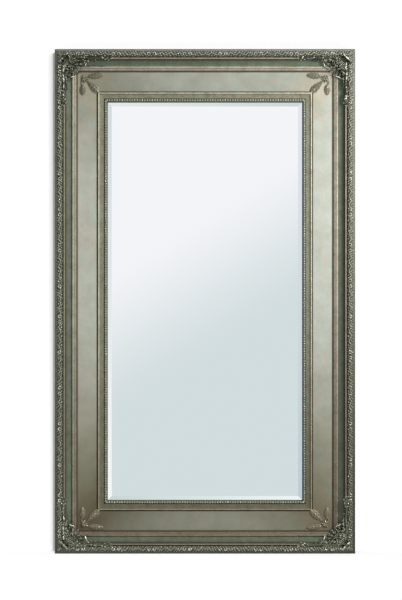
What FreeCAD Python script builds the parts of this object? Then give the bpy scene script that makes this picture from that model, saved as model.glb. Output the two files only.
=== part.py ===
import FreeCAD, Part
import math, os

# Leaning floor mirror in a wide mitred frame. Lengths in millimetres.
# X runs to the right seen from the front, Z runs up, the front faces -Y.
# A rise is a height above the back plane of the frame, towards the viewer.

# Overall size
frame_width = 1140.0
frame_height = 1914.0

# Widths of the members of the frame, from the outer edge towards the glass
border_width = 9.0
band_width = 21.0
fillet_width = 10.0
cove_width = 24.0
bead_width = 9.0
step_width = 12.0
panel_width = 76.0
sight_quirk_width = 2.0
sight_bead_width = 9.0
sight_slope_width = 14.0
beading_width = 12.0

# Rises of the outer moulding
side_rise = 50.0
bed_depth = 2.0
quirk_width = 1.5
fillet_foot_rise = 54.0
fillet_wall = 4.0
fillet_dome = 2.5
cove_foot_rise = 41.0
bead_dome = 4.5
step_rise = 42.5
step_nose = 2.5
rebate_lap = 15.0

# Carved band on the outer lip
band_wall = 3.0
band_dome = 9.0
band_pitch = 44.0
band_corner_plain = 62.0
vein_radius = 3.2
vein_angle = 52.0
vein_bite = 2.4

# Flat panel boards between the two mouldings
panel_rise = 36.0
panel_thickness = 16.0
panel_edge_bevel = 1.0
tongue_thickness = 8.0
panel_fit = 1.0

# Moulding round the glass, and its row of beads
sight_floor_rise = 33.0
sight_bead_wall = 5.0
sight_bead_dome = 4.0
sight_slope_rise = 34.5
beading_bed_rise = 31.0
beading_strip = 2.0
beading_margin = 1.5
pearl_radius = 4.2
pearl_neck = 1.8
pearl_pitch = 9.5

# Glass
glass_thickness = 5.0
glass_edge_thickness = 2.5
bevel_width = 26.0
glass_lap = 9.0
glass_gap = 2.0
glass_fit = 0.3
block_length = 40.0
block_inset_share = 0.25

# Backing board and its screws
backing_thickness = 6.0
backing_lap = 42.0
backing_screw_inset = 14.0
backing_screw_pitch = 300.0
backing_screw_margin = 100.0
wood_screw_radius = 2.0
wood_screw_head = 4.0
wood_screw_length = 18.0
screw_fit = 0.05

# Glue blocks behind the panel boards
glue_block_leg = 16.0
glue_block_length = 60.0
glue_block_pitch = 330.0
glue_block_margin = 210.0

# Dowels across the mitres and flat biscuits in the panel mitres
dowel_radius = 5.0
dowel_length = 36.0
dowel_rise = 24.0
dowel_places = (24.0, 50.0)
biscuit_length = 56.0
biscuit_width = 22.0
biscuit_thickness = 4.0
joint_fit = 0.05

# Steel corner plates on the back
plate_arm = 120.0
plate_width = 25.0
plate_thickness = 2.5
plate_inset = 22.0
plate_screw_shares = (0.45, 0.85)

# Hangers on the back: strap, swinging ring and screws
hanger_height_share = 0.78
hanger_inset = 35.0
strap_width = 20.0
strap_length = 78.0
strap_thickness = 1.5
strap_screw_shares = (0.55, 0.85)
wire_radius = 2.0
wire_fit = 0.05
ring_width = 38.0
ring_corner = 5.0
ring_side = 6.0
ring_tilt = 3.0
pan_head_radius = 4.0
pan_head_rise = 2.2

# Rubber bumpers that touch the wall
bumper_radius = 12.0
bumper_face_radius = 10.0
bumper_rise = 8.0
bumper_from_corner = 190.0
bumper_inset = 35.0

# Cast leaf ornament over the corners of the outer moulding
ornament_crest = 72.0
fan_root = 34.0
fan_edge = 178.0
fan_core_reach = 62.0
fan_lobe_radius = 9.0
fan_tail = 10.0
fan_lift = 2.0
fan_angles = (12.0, 28.5, 45.0, 61.5, 78.0)
boss_radius = 11.0
scroll_place = 33.0
scroll_length = 46.0
scroll_radius = 4.0
scroll_curl_radius = 5.0
arm_line = 34.5
arm_starts = (44.0, 118.0)
arm_ends = (138.0, 206.0)
arm_radii = (8.0, 5.5)
arm_lift = 3.0
bud_length = 30.0
bud_radius = 6.5
bud_turn = 5.0

# Leaf spray in the corners of the panel
spray_root = 106.0
spray_angles = (-8.0, 45.0, 98.0)
spray_lengths = (76.0, 72.0, 76.0)
spray_leaf_start = 24.0
spray_half_width = 9.5
spray_rise = 6.0
spray_knot_radius = 7.0
spray_stem_length = 48.0
spray_stem_radius = 4.0

# Cutting tools run past the piece by this much
overrun = 5.0

# Part of the radius at the middle of a quarter turn
quarter_share = math.sqrt(0.5)

# Places across the frame that follow from the widths
band_start = border_width
band_end = band_start + band_width
cove_start = band_end + fillet_width
cove_end = cove_start + cove_width
bead_end = cove_end + bead_width
step_end = bead_end + step_width
panel_end = step_end + panel_width
sight_bead_start = panel_end + sight_quirk_width
sight_bead_end = sight_bead_start + sight_bead_width
beading_start = sight_bead_end + sight_slope_width
sight_edge = beading_start + beading_width
glass_edge = sight_edge - glass_lap
tongue_end = glass_edge - glass_gap
rebate_wall = step_end - rebate_lap
backing_edge = tongue_end - backing_lap
arm_end = max(arm_ends)

# Rises that follow
border_rise = side_rise + border_width
bed_rise = border_rise - bed_depth
fillet_rise = fillet_foot_rise + fillet_wall
bead_crest = cove_foot_rise + bead_dome
panel_back = panel_rise - panel_thickness
tongue_rise = panel_back + tongue_thickness
glass_at_sight = glass_edge_thickness + (glass_thickness - glass_edge_thickness) * glass_lap / bevel_width
shoulder_rise = panel_back + glass_at_sight + glass_fit
backing_back = panel_back - backing_thickness
depth_middle = (ornament_crest - bumper_rise) / 2
deepest = -bumper_rise - overrun
highest = ornament_crest + overrun

sides = {
    "bottom": (frame_width, frame_height, 0.0),
    "left": (frame_height, frame_width, 90.0),
    "top": (frame_width, frame_height, 180.0),
    "right": (frame_height, frame_width, -90.0),
}
corners = {
    "bottom_left": (-frame_width / 2, 0.0, 0.0),
    "top_left": (-frame_width / 2, frame_height, 90.0),
    "top_right": (frame_width / 2, frame_height, 180.0),
    "bottom_right": (frame_width / 2, 0.0, -90.0),
}
along = FreeCAD.Vector(1, 0, 0)
back = FreeCAD.Vector(0, 1, 0)
up = FreeCAD.Vector(0, 0, 1)
middle = FreeCAD.Vector(0, 0, frame_height / 2)


def spot(run, across, rise):
    # point of the bottom rail: run to the right of its middle, across from its outer edge
    return FreeCAD.Vector(run, depth_middle - rise, across)


def corner_spot(run, across, rise):
    # point measured from the bottom left corner of the frame
    return spot(run - frame_width / 2, across, rise)


def to_side(shape, name):
    # carries a piece drawn on the bottom rail round to a named side
    length, reach, turn = sides[name]
    piece = shape.copy()
    piece.translate(up * ((frame_height - reach) / 2))
    piece.rotate(middle, back, turn)
    return piece


def to_corner(shape, name):
    # carries a piece drawn in the bottom left corner to a named corner
    run, height, turn = corners[name]
    piece = shape.copy()
    piece.translate(along * (frame_width / 2))
    piece.rotate(FreeCAD.Vector(0, 0, 0), back, turn)
    piece.translate(along * run + up * height)
    return piece


def face_of(points):
    # closed outline across the rail, an entry of two points is an arc through the first to the second
    edges = []
    here = points[0]
    for entry in points[1:] + points[:1]:
        if isinstance(entry[0], tuple):
            through, there = entry
            arc = Part.Arc(spot(0, *here), spot(0, *through), spot(0, *there))
            edges.append(arc.toShape())
        else:
            there = entry
            edges.append(Part.makeLine(spot(0, *here), spot(0, *there)))
        here = there
    return Part.Face(Part.Wire(edges))


def dome(start, end, rise):
    # arc that rises by rise over the middle between two points
    through = ((start[0] + end[0]) / 2, (start[1] + end[1]) / 2 + rise)
    return through, end


def hollow(start, end):
    # hollow quarter turn that starts steep and ends flat
    across = end[0] - (end[0] - start[0]) * quarter_share
    rise = start[1] - (start[1] - end[1]) * quarter_share
    return (across, rise), end


def rounded(start, radius):
    # quarter round from a side wall to the top of its edge
    across = start[0] + radius * (1 - quarter_share)
    return (across, start[1] + radius * quarter_share), (start[0] + radius, start[1] + radius)


def mitre_block(length):
    # all of the space that belongs to a rail of this length between its two mitres
    plan = [(-length / 2, 0.0), (length / 2, 0.0), (0.0, length / 2)]
    wire = Part.makePolygon([spot(run, across, deepest) for run, across in plan + plan[:1]])
    return Part.Face(wire).extrude(back * (deepest - highest))


def rail(face, length):
    # outline carried along the rail and cut at both mitres
    bar = face.copy()
    bar.translate(along * (-length / 2))
    return bar.extrude(along * length).common(mitre_block(length))


def spaced(length, margin, pitch):
    # even places along a length, centred, no further apart than the pitch
    free = length - 2 * margin
    count = max(1, math.ceil(free / pitch))
    return [margin - length / 2 + free * step / count for step in range(count + 1)]


def spindle(start, end, radius):
    # body pointed at both ends, a bowed curve turned about its chord
    chord = end - start
    aside = chord.cross(back).normalize() * radius
    bow = Part.BezierCurve()
    bow.setPoles([start, (start + end) / 2 + aside * 2, end])
    half = Part.Face(Part.Wire([bow.toShape(), Part.makeLine(end, start)]))
    body = half.revolve(start, chord, 360)
    return body if body.Volume > 0 else body.reversed()


def joined(shapes):
    # one solid from bodies that overlap, each joined on in turn
    body = shapes[0]
    for shape in shapes[1:]:
        body = body.fuse(shape)
    return body


def turned(point, profile):
    # outline of reach and depth turned about an axis that runs forwards from the back
    wire = Part.makePolygon([point + along * reach - back * depth for reach, depth in profile + profile[:1]])
    return Part.Face(wire).revolve(point, back, 360)


def sunk_screw(point, fit):
    # wood screw whose head lies flush with the surface
    head = wood_screw_head + fit
    shank = wood_screw_radius + fit
    end = wood_screw_length + fit
    return turned(point, [(0.0, 0.0), (head, 0.0), (shank, head - shank), (shank, end), (0.0, end)])


def pan_screw(point, fit):
    # wood screw whose flat head stands on the surface
    shank = wood_screw_radius + fit
    end = wood_screw_length + fit
    head = pan_head_radius
    top = -pan_head_rise
    return turned(point, [(0.0, top), (head, top), (head, 0.0), (shank, 0.0), (shank, end), (0.0, end)])


def outer_outline():
    foot = (cove_end, cove_foot_rise)
    return [
        (0.0, 0.0),
        (0.0, side_rise),
        rounded((0.0, side_rise), border_width),
        (band_start, bed_rise),
        (band_end, bed_rise),
        (band_end, fillet_foot_rise),
        (band_end + quirk_width, fillet_foot_rise),
        (band_end + quirk_width, fillet_rise),
        dome((band_end + quirk_width, fillet_rise), (cove_start - quirk_width, fillet_rise), fillet_dome),
        (cove_start - quirk_width, fillet_foot_rise),
        (cove_start, fillet_foot_rise),
        hollow((cove_start, fillet_foot_rise), foot),
        dome(foot, (bead_end, cove_foot_rise), bead_dome),
        (bead_end, cove_foot_rise - quirk_width),
        (bead_end + quirk_width, step_rise),
        dome((bead_end + quirk_width, step_rise), (step_end, step_rise - step_nose), quirk_width),
        (step_end, panel_rise),
        (rebate_wall, panel_rise),
        (rebate_wall, 0.0),
    ]


def band_outline():
    return [
        (band_start, bed_rise),
        (band_start, bed_rise + band_wall),
        dome((band_start, bed_rise + band_wall), (band_end, bed_rise + band_wall), band_dome),
        (band_end, bed_rise),
    ]


def panel_outline():
    return [
        (rebate_wall + panel_fit, panel_back),
        (rebate_wall + panel_fit, panel_rise),
        (panel_end - panel_edge_bevel, panel_rise),
        (panel_end, panel_rise - panel_edge_bevel),
        (panel_end, tongue_rise),
        (tongue_end, tongue_rise),
        (tongue_end, panel_back),
    ]


def sight_outline():
    bead_foot = sight_floor_rise + sight_bead_wall
    return [
        (panel_end, tongue_rise),
        (panel_end, sight_floor_rise),
        (sight_bead_start, sight_floor_rise),
        (sight_bead_start, bead_foot),
        dome((sight_bead_start, bead_foot), (sight_bead_end, bead_foot), sight_bead_dome),
        hollow((sight_bead_end, bead_foot), (beading_start, sight_slope_rise)),
        (beading_start, beading_bed_rise),
        (sight_edge, beading_bed_rise),
        (sight_edge, shoulder_rise),
        (tongue_end, shoulder_rise),
        (tongue_end, tongue_rise),
    ]


def carved_band(length):
    # rounded strip with pairs of slanting veins that part it into leaves
    strip = rail(face_of(band_outline()), length)
    crest = bed_rise + band_wall + band_dome
    centre = (band_start + band_end) / 2
    reach = band_width * 2
    slant = math.radians(vein_angle)
    veins = []
    for run in spaced(length, band_corner_plain, band_pitch):
        start = spot(run, centre, crest + vein_radius - vein_bite)
        for hand in (-1, 1):
            lean = along * math.cos(slant) + up * (hand * math.sin(slant))
            veins.append(Part.makeCylinder(vein_radius, reach, start, lean))
    return strip.cut(Part.makeCompound(veins))


def pearl_string(length):
    # row of pearls with thin necks between them, turned in one go
    count = round(length / pearl_pitch)
    pitch = length / count
    half_neck = (pitch - 2 * math.sqrt(pearl_radius ** 2 - pearl_neck ** 2)) / 2
    start = spot(-length / 2, (beading_start + sight_edge) / 2, beading_bed_rise + beading_strip)
    edges = []
    for number in range(count):
        near = start + along * (number * pitch)
        low = near + along * half_neck + up * pearl_neck
        top = near + along * (pitch / 2) + up * pearl_radius
        far = near + along * (pitch - half_neck) + up * pearl_neck
        edges.append(Part.makeLine(near + up * pearl_neck, low))
        edges.append(Part.Arc(low, top, far).toShape())
        edges.append(Part.makeLine(far, near + along * pitch + up * pearl_neck))
    end = start + along * length
    edges.append(Part.makeLine(end + up * pearl_neck, end))
    edges.append(Part.makeLine(end, start))
    edges.append(Part.makeLine(start, start + up * pearl_neck))
    return Part.Face(Part.Wire(edges)).revolve(start, along, 360)


def sight_beading(length):
    # flat strip with half pearls standing on it
    low = beading_start + beading_margin
    high = sight_edge - beading_margin
    top = beading_bed_rise + beading_strip
    strip = face_of([(low, beading_bed_rise), (low, top), (high, top), (high, beading_bed_rise)])
    keep = face_of([(low, beading_bed_rise), (low, highest), (high, highest), (high, beading_bed_rise)])
    bar = strip.copy()
    bar.translate(along * (-length / 2))
    pearls = pearl_string(length - 2 * beading_start)
    return pearls.fuse(bar.extrude(along * length)).common(rail(keep, length))


def plate_at(inset, low, high, width, height):
    # flat plate whose edge runs at one inset from the outer edge of the frame
    corner = FreeCAD.Vector(inset - width / 2, depth_middle - high, inset)
    return Part.makeBox(width - 2 * inset, high - low, height - 2 * inset, corner)


def mirror_glass():
    # plate with a wide ground bevel on the front
    plate = plate_at(glass_edge, panel_back, panel_back + glass_edge_thickness, frame_width, frame_height)
    wires = []
    for inset, rise in ((glass_edge, glass_edge_thickness), (glass_edge + bevel_width, glass_thickness)):
        run = frame_width / 2 - inset
        level = panel_back + rise
        turns = [(-run, inset), (run, inset), (run, frame_height - inset), (-run, frame_height - inset)]
        wires.append(Part.makePolygon([spot(side, height, level) for side, height in turns + turns[:1]]))
    return plate.fuse(Part.makeLoft(wires, True, True)).removeSplitter()


def setting_blocks():
    # cushions that fill the gap round the glass
    blocks = []
    for name, (length, reach, turn) in sides.items():
        for hand in (-1, 1):
            run = hand * length * block_inset_share
            corner = spot(run - block_length / 2, tongue_end, panel_back + glass_edge_thickness)
            blocks.append(to_side(Part.makeBox(block_length, glass_edge_thickness, glass_gap, corner), name))
    return Part.makeCompound(blocks)


def glue_blocks():
    # three-sided blocks glued between the outer moulding and the back of the panel boards
    face = face_of([
        (rebate_wall, panel_back),
        (rebate_wall + glue_block_leg, panel_back),
        (rebate_wall, panel_back - glue_block_leg),
    ])
    blocks = []
    for name, (length, reach, turn) in sides.items():
        for run in spaced(length, glue_block_margin, glue_block_pitch):
            block = face.copy()
            block.translate(along * (run - glue_block_length / 2))
            blocks.append(to_side(block.extrude(along * glue_block_length), name))
    return Part.makeCompound(blocks)


def backing_screws(fit):
    inset = backing_edge + backing_screw_inset
    screws = []
    for name, (length, reach, turn) in sides.items():
        for run in spaced(length, inset + backing_screw_margin, backing_screw_pitch):
            screws.append(to_side(sunk_screw(spot(run, inset, backing_back), fit), name))
    return Part.makeCompound(screws)


def mitre_dowels(fit):
    # two dowels square across each mitre
    slant = (along - up).normalize()
    length = dowel_length + 2 * fit
    pins = []
    for place in dowel_places:
        start = corner_spot(place, place, dowel_rise) - slant * (length / 2)
        pins.append(Part.makeCylinder(dowel_radius + fit, length, start, slant))
    return Part.makeCompound([to_corner(pin, name) for name in corners for pin in pins])


def panel_biscuits(fit):
    # flat pointed ovals across the panel mitres
    centre = (rebate_wall + tongue_end) / 2
    slant = (along - up).normalize()
    inward = (along + up).normalize()
    point = corner_spot(centre, centre, (panel_rise + panel_back - biscuit_thickness) / 2 - fit)
    ends = slant * (biscuit_length / 2 + fit)
    bulge = inward * (biscuit_width / 2 + fit)
    edges = [
        Part.Arc(point - ends, point + bulge, point + ends).toShape(),
        Part.Arc(point + ends, point - bulge, point - ends).toShape(),
    ]
    biscuit = Part.Face(Part.Wire(edges)).extrude(back * (-biscuit_thickness - 2 * fit))
    return Part.makeCompound([to_corner(biscuit, name) for name in corners])


def plate_screw_spots():
    places = [plate_arm * share for share in plate_screw_shares]
    line = plate_inset + plate_width / 2
    level = -plate_thickness
    spots = [corner_spot(plate_inset + place, line, level) for place in places]
    return spots + [corner_spot(line, plate_inset + place, level) for place in places]


def plate_screws(fit):
    return Part.makeCompound([sunk_screw(point, fit) for point in plate_screw_spots()])


def corner_plate():
    # flat steel angle screwed over the mitre
    reach = plate_inset + plate_arm
    inner = plate_inset + plate_width
    plan = [(plate_inset, plate_inset), (reach, plate_inset), (reach, inner), (inner, inner), (inner, reach)]
    plan.append((plate_inset, reach))
    wire = Part.makePolygon([corner_spot(run, across, 0.0) for run, across in plan + plan[:1]])
    plate = Part.Face(wire).extrude(back * plate_thickness)
    return plate.cut(plate_screws(screw_fit))


def hanger_pivot(hand):
    # middle of the ring's bar, one loop radius behind the frame
    loop = wire_radius + wire_fit + strap_thickness
    run = hand * (frame_width / 2 - hanger_inset)
    return spot(run, frame_height * hanger_height_share, -loop)


def hanger_screws(hand, fit):
    pivot = hanger_pivot(hand)
    level = depth_middle + strap_thickness
    heights = [pivot.z - strap_length * share for share in strap_screw_shares]
    return Part.makeCompound([pan_screw(FreeCAD.Vector(pivot.x, level, height), fit) for height in heights])


def hanger_strap(hand):
    # strap with its upper end curled round the bar of the ring
    pivot = hanger_pivot(hand)
    hole = wire_radius + wire_fit
    edge = pivot - along * (strap_width / 2)
    loop = Part.makeCylinder(hole + strap_thickness, strap_width, edge, along)
    length = strap_length - hole / 2 - strap_width / 2
    corner = FreeCAD.Vector(edge.x, depth_middle, pivot.z - strap_length + strap_width / 2)
    flat = Part.makeBox(strap_width, strap_thickness, length, corner)
    tail = Part.makeCylinder(strap_width / 2, strap_thickness, corner + along * (strap_width / 2), back)
    bore = Part.makeCylinder(hole, strap_width + 2 * overrun, edge - along * overrun, along)
    return loop.multiFuse([flat, tail]).removeSplitter().cut([bore, hanger_screws(hand, screw_fit)])


def hanger_ring(hand):
    # D-shaped wire ring, its straight bar runs through the strap's loop
    pivot = hanger_pivot(hand)
    half = ring_width / 2
    knee = ring_corner + ring_side

    def at(run, drop):
        return pivot + along * run - up * drop

    def corner(sign):
        inner = half - ring_corner
        return at(sign * (inner + ring_corner * quarter_share), ring_corner * (1 - quarter_share))

    path = Part.Wire([
        Part.makeLine(at(0, 0), at(half - ring_corner, 0)),
        Part.Arc(at(half - ring_corner, 0), corner(1), at(half, ring_corner)).toShape(),
        Part.makeLine(at(half, ring_corner), at(half, knee)),
        Part.Arc(at(half, knee), at(0, knee + half), at(-half, knee)).toShape(),
        Part.makeLine(at(-half, knee), at(-half, ring_corner)),
        Part.Arc(at(-half, ring_corner), corner(-1), at(ring_corner - half, 0)).toShape(),
        Part.makeLine(at(ring_corner - half, 0), at(0, 0)),
    ])
    section = Part.Wire([Part.makeCircle(wire_radius, pivot, along)])
    ring = path.makePipeShell([section], True, False)
    ring.rotate(pivot, along, ring_tilt)
    return ring


def wall_bumpers():
    pads = []
    for hand in (-1, 1):
        run = hand * (frame_width / 2 - bumper_inset)
        for height in (bumper_from_corner, frame_height - bumper_from_corner):
            foot = spot(run, height, 0.0)
            pads.append(Part.makeCone(bumper_radius, bumper_face_radius, bumper_rise, foot, back))
    return Part.makeCompound(pads)


def surface_rise(across):
    # rise of the outer moulding at a place across it, straight between its main points
    knots = [
        (cove_start, fillet_rise),
        (cove_end, cove_foot_rise),
        (bead_end, bead_crest),
        (step_end, step_rise),
    ]
    if across <= cove_start:
        return fillet_rise
    for (near, near_rise), (far, far_rise) in zip(knots, knots[1:]):
        if across <= far:
            return near_rise + (far_rise - near_rise) * (across - near) / (far - near)
    return step_rise


def fan_core():
    # solid body of the ornament that fills the cove in the corner
    face = face_of([
        (band_end, cove_foot_rise),
        (band_end, fillet_rise + fillet_dome),
        (cove_start, fillet_rise + fillet_dome),
        (bead_end, bead_crest),
        (bead_end, cove_foot_rise),
    ])
    low = rail(face, frame_width)
    left = to_side(rail(face, frame_height), "left")
    base = corner_spot(fan_root, fan_root, deepest)
    reach = Part.makeCylinder(fan_core_reach, highest - deepest, base, -back)
    return low.fuse(left).common(reach)


def corner_bed():
    # the mouldings that a corner ornament is glued to
    bed = []
    for outline in (outer_outline(), band_outline()):
        bed.append(rail(face_of(outline), frame_width))
        bed.append(to_side(rail(face_of(outline), frame_height), "left"))
    return bed


def fan_tip(angle):
    # end of a fan leaf, on the straight edge that the fan makes across the corner
    cosine = math.cos(math.radians(angle))
    sine = math.sin(math.radians(angle))
    reach = (fan_edge - 2 * fan_root) / (cosine + sine)
    run = fan_root + reach * cosine
    across = fan_root + reach * sine
    return corner_spot(run, across, surface_rise(min(run, across)) + fan_lift)


def corner_scroll():
    # bar that lies across the mitre over the root of the fan, with a curl at each end
    half = scroll_length / 2 * quarter_share
    level = ornament_crest - scroll_curl_radius
    low = corner_spot(scroll_place + half, scroll_place - half, level)
    high = corner_spot(scroll_place - half, scroll_place + half, level)
    curls = [Part.makeSphere(scroll_curl_radius, end) for end in (low, high)]
    return [Part.makeCylinder(scroll_radius, scroll_length, low, high - low)] + curls


def side_arms():
    # two long leaves on the fillet along each side of the corner, and the bud that ends them
    level = fillet_rise + arm_lift
    ends = list(zip(arm_starts, arm_ends, arm_radii, (0.0, 0.0)))
    ends.append((arm_end - bud_length / 2, arm_end + bud_length / 2, bud_radius, bud_turn))
    leaves = []
    for start, end, radius, turn in ends:
        near = (start, arm_line)
        far = (end, arm_line + turn)
        leaves.append(spindle(corner_spot(*near, level), corner_spot(*far, level), radius))
        leaves.append(spindle(corner_spot(*near[::-1], level), corner_spot(*far[::-1], level), radius))
    return leaves


def corner_acanthus():
    # fan of leaves that fills the cove, a boss and a scroll at its root, and an arm along each side
    root = corner_spot(fan_root, fan_root, fillet_rise + fillet_dome + fan_lift)
    leaves = [fan_core()]
    for angle in fan_angles:
        tip = fan_tip(angle)
        tail = (root - tip).normalize() * fan_tail
        leaves.append(spindle(root + tail, tip, fan_lobe_radius))
    boss = corner_spot(fan_root, fan_root, ornament_crest - boss_radius)
    leaves.append(Part.makeSphere(boss_radius, boss))
    return joined(leaves + corner_scroll() + side_arms()).cut(corner_bed())


def leaf_spray():
    # three leaves on thin stems from one knot, cut flat where they lie on the panel
    bow = (spray_half_width ** 2 + spray_rise ** 2) / (2 * spray_rise)
    sunk = back * (bow - spray_rise)
    root = corner_spot(spray_root, spray_root, panel_rise)
    leaves = [Part.makeSphere(spray_knot_radius, root)]
    for angle, length in zip(spray_angles, spray_lengths):
        course = along * math.cos(math.radians(angle)) + up * math.sin(math.radians(angle))
        start = root - course * spray_stem_radius
        leaves.append(spindle(start, root + course * spray_stem_length, spray_stem_radius))
        start = root + course * spray_leaf_start + sunk
        leaves.append(spindle(start, root + course * length + sunk, bow))
    reach = spray_root + max(spray_lengths) + overrun
    above = Part.makeBox(reach, highest - panel_rise, reach, corner_spot(0.0, 0.0, highest))
    return joined([leaf.common(above) for leaf in leaves])


def build():
    pieces = {}
    for name, (length, reach, turn) in sides.items():
        pieces["outer_moulding_" + name] = to_side(rail(face_of(outer_outline()), length), name)
        pieces["carved_band_" + name] = to_side(carved_band(length), name)
        pieces["panel_board_" + name] = to_side(rail(face_of(panel_outline()), length), name)
        pieces["sight_moulding_" + name] = to_side(rail(face_of(sight_outline()), length), name)
        pieces["sight_beading_" + name] = to_side(sight_beading(length), name)
    shapes = {
        "corner_acanthus_": corner_acanthus(),
        "leaf_spray_": leaf_spray(),
        "corner_plate_": corner_plate(),
    }
    for name in corners:
        for kind, shape in shapes.items():
            pieces[kind + name] = to_corner(shape, name)
    hands = {"left": -1, "right": 1}
    for name, hand in hands.items():
        pieces["hanger_strap_" + name] = hanger_strap(hand)
        pieces["hanger_ring_" + name] = hanger_ring(hand)
    pieces["hanger_screws"] = Part.makeCompound([hanger_screws(hand, 0.0) for hand in hands.values()])
    screws = plate_screws(0.0)
    pieces["corner_plate_screws"] = Part.makeCompound([to_corner(screws, name) for name in corners])
    pieces["backing_screws"] = backing_screws(0.0)
    pieces["mitre_dowels"] = mitre_dowels(0.0)
    pieces["panel_biscuits"] = panel_biscuits(0.0)
    pieces["glue_blocks"] = glue_blocks()
    pieces["setting_blocks"] = setting_blocks()
    pieces["wall_bumpers"] = wall_bumpers()
    pieces["mirror_glass"] = mirror_glass()
    board = plate_at(backing_edge, backing_back, panel_back, frame_width, frame_height)
    pieces["backing_board"] = board.cut(backing_screws(screw_fit))
    outer_holes = [mitre_dowels(joint_fit)] + [hanger_screws(hand, screw_fit) for hand in hands.values()]
    outer_holes += [to_corner(plate_screws(screw_fit), name) for name in corners]
    panel_holes = [panel_biscuits(joint_fit), backing_screws(screw_fit)]
    for name in sides:
        pieces["outer_moulding_" + name] = pieces["outer_moulding_" + name].cut(outer_holes)
        pieces["panel_board_" + name] = pieces["panel_board_" + name].cut(panel_holes)
    return pieces


os.makedirs("parts", exist_ok=True)
for node, shape in build().items():
    shape.exportStep("parts/" + node + ".step")
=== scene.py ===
import math

import bmesh
import bpy
import numpy as np
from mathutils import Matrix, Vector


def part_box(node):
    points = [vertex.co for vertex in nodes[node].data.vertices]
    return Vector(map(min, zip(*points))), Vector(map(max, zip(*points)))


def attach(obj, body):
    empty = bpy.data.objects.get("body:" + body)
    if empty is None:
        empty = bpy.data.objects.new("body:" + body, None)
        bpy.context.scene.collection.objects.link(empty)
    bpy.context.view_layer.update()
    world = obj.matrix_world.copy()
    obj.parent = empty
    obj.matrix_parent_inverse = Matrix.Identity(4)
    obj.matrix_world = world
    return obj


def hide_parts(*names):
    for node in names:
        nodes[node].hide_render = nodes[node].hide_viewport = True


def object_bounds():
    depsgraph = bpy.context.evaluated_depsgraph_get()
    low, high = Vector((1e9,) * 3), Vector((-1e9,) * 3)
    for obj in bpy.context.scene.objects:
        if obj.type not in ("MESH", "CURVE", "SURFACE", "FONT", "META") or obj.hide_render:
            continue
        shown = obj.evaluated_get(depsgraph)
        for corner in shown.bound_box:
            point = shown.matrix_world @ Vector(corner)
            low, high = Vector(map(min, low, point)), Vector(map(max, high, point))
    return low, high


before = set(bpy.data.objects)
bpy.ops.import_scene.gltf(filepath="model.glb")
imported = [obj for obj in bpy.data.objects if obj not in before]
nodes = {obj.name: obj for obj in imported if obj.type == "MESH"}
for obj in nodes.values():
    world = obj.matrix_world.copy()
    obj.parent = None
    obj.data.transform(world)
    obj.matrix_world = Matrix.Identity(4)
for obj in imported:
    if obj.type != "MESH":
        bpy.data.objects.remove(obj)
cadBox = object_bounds()

# sizes below are millimetres, as on the maker's drawing; place() turns them into the frame's metres
mm = 0.001
outerLow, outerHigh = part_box("outer_moulding_bottom")
frameWidth = (outerHigh.x - outerLow.x) / mm
frameHeight = (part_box("outer_moulding_top")[1].z - outerLow.z) / mm
backFace = outerHigh.y
bandStart, bandEnd = [(corner.z - outerLow.z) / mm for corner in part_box("carved_band_bottom")]
panelStart = (outerHigh.z - outerLow.z) / mm
sightStart, sightEnd = [(corner.z - outerLow.z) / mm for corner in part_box("sight_moulding_bottom")]
beadLow, beadHigh = [(corner.z - outerLow.z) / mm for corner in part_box("sight_beading_bottom")]
ornamentCrest = (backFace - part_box("corner_acanthus_bottom_left")[0].y) / mm
panelRise = (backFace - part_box("panel_board_bottom")[0].y) / mm

# first corner of each side, the way it runs, the way in from its outer edge and its length, seen from the front
halfWidth = frameWidth / 2
sideFrames = {
    "bottom": ((-halfWidth, 0), (1, 0), (0, 1), frameWidth),
    "right": ((halfWidth, 0), (0, 1), (-1, 0), frameHeight),
    "top": ((halfWidth, frameHeight), (-1, 0), (0, -1), frameWidth),
    "left": ((-halfWidth, frameHeight), (0, -1), (1, 0), frameHeight),
}
cornerSides = {"bottom_left": "bottom", "bottom_right": "right", "top_right": "top", "top_left": "left"}
mergeReach = 2e-6  # metres, for the doubled points at the poles of leaves and pearls


# dictionary of what a user would change, its entries also read as attributes
class Look(dict):
    __getattr__ = dict.__getitem__


# a point: first corner of the side + run along it + way across from the outer edge, rise forward of the back
def place(side, run, across, rise):
    (startX, startZ), (alongX, alongZ), (inX, inZ), _ = sideFrames[side]
    x = startX + run * alongX + across * inX
    z = startZ + run * alongZ + across * inZ
    spots = np.stack(np.broadcast_arrays(x, np.zeros_like(x), z), -1) * mm
    spots[..., 1] = backFace - np.broadcast_to(rise, spots.shape[:-1]) * mm
    return spots


# points given as run, across and rise, on the side that starts at a corner
def placeAtCorner(corner, points):
    return place(cornerSides[corner], points[..., 0], points[..., 1], points[..., 2])


# run between the two mitres of a side: a share of the way from the one to the other
def mitredRun(side, across, share):
    return across + share * (sideFrames[side][3] - 2 * across)


# quads between neighbours of a grid of rows and columns, joined round where the columns close
def gridQuads(rows, columns, closed):
    row, column = np.meshgrid(np.arange(rows - 1), np.arange(columns if closed else columns - 1), indexing="ij")
    beside = (column + 1) % columns
    quads = [row * columns + column, (row + 1) * columns + column,
             (row + 1) * columns + beside, row * columns + beside]
    return np.stack(quads, -1).reshape(-1, 4)


# the quads of one mesh once for each copy, counted on by the points of a copy
def copyQuads(one, each, count):
    return (one[None] + each * np.arange(count)[:, None, None]).reshape(-1, 4)


# faces over the first and the last ring of a swept outline, the last turned round
def endCaps(rings, count):
    return [np.arange(count), np.arange((rings - 1) * count, rings * count)[::-1]]


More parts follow.
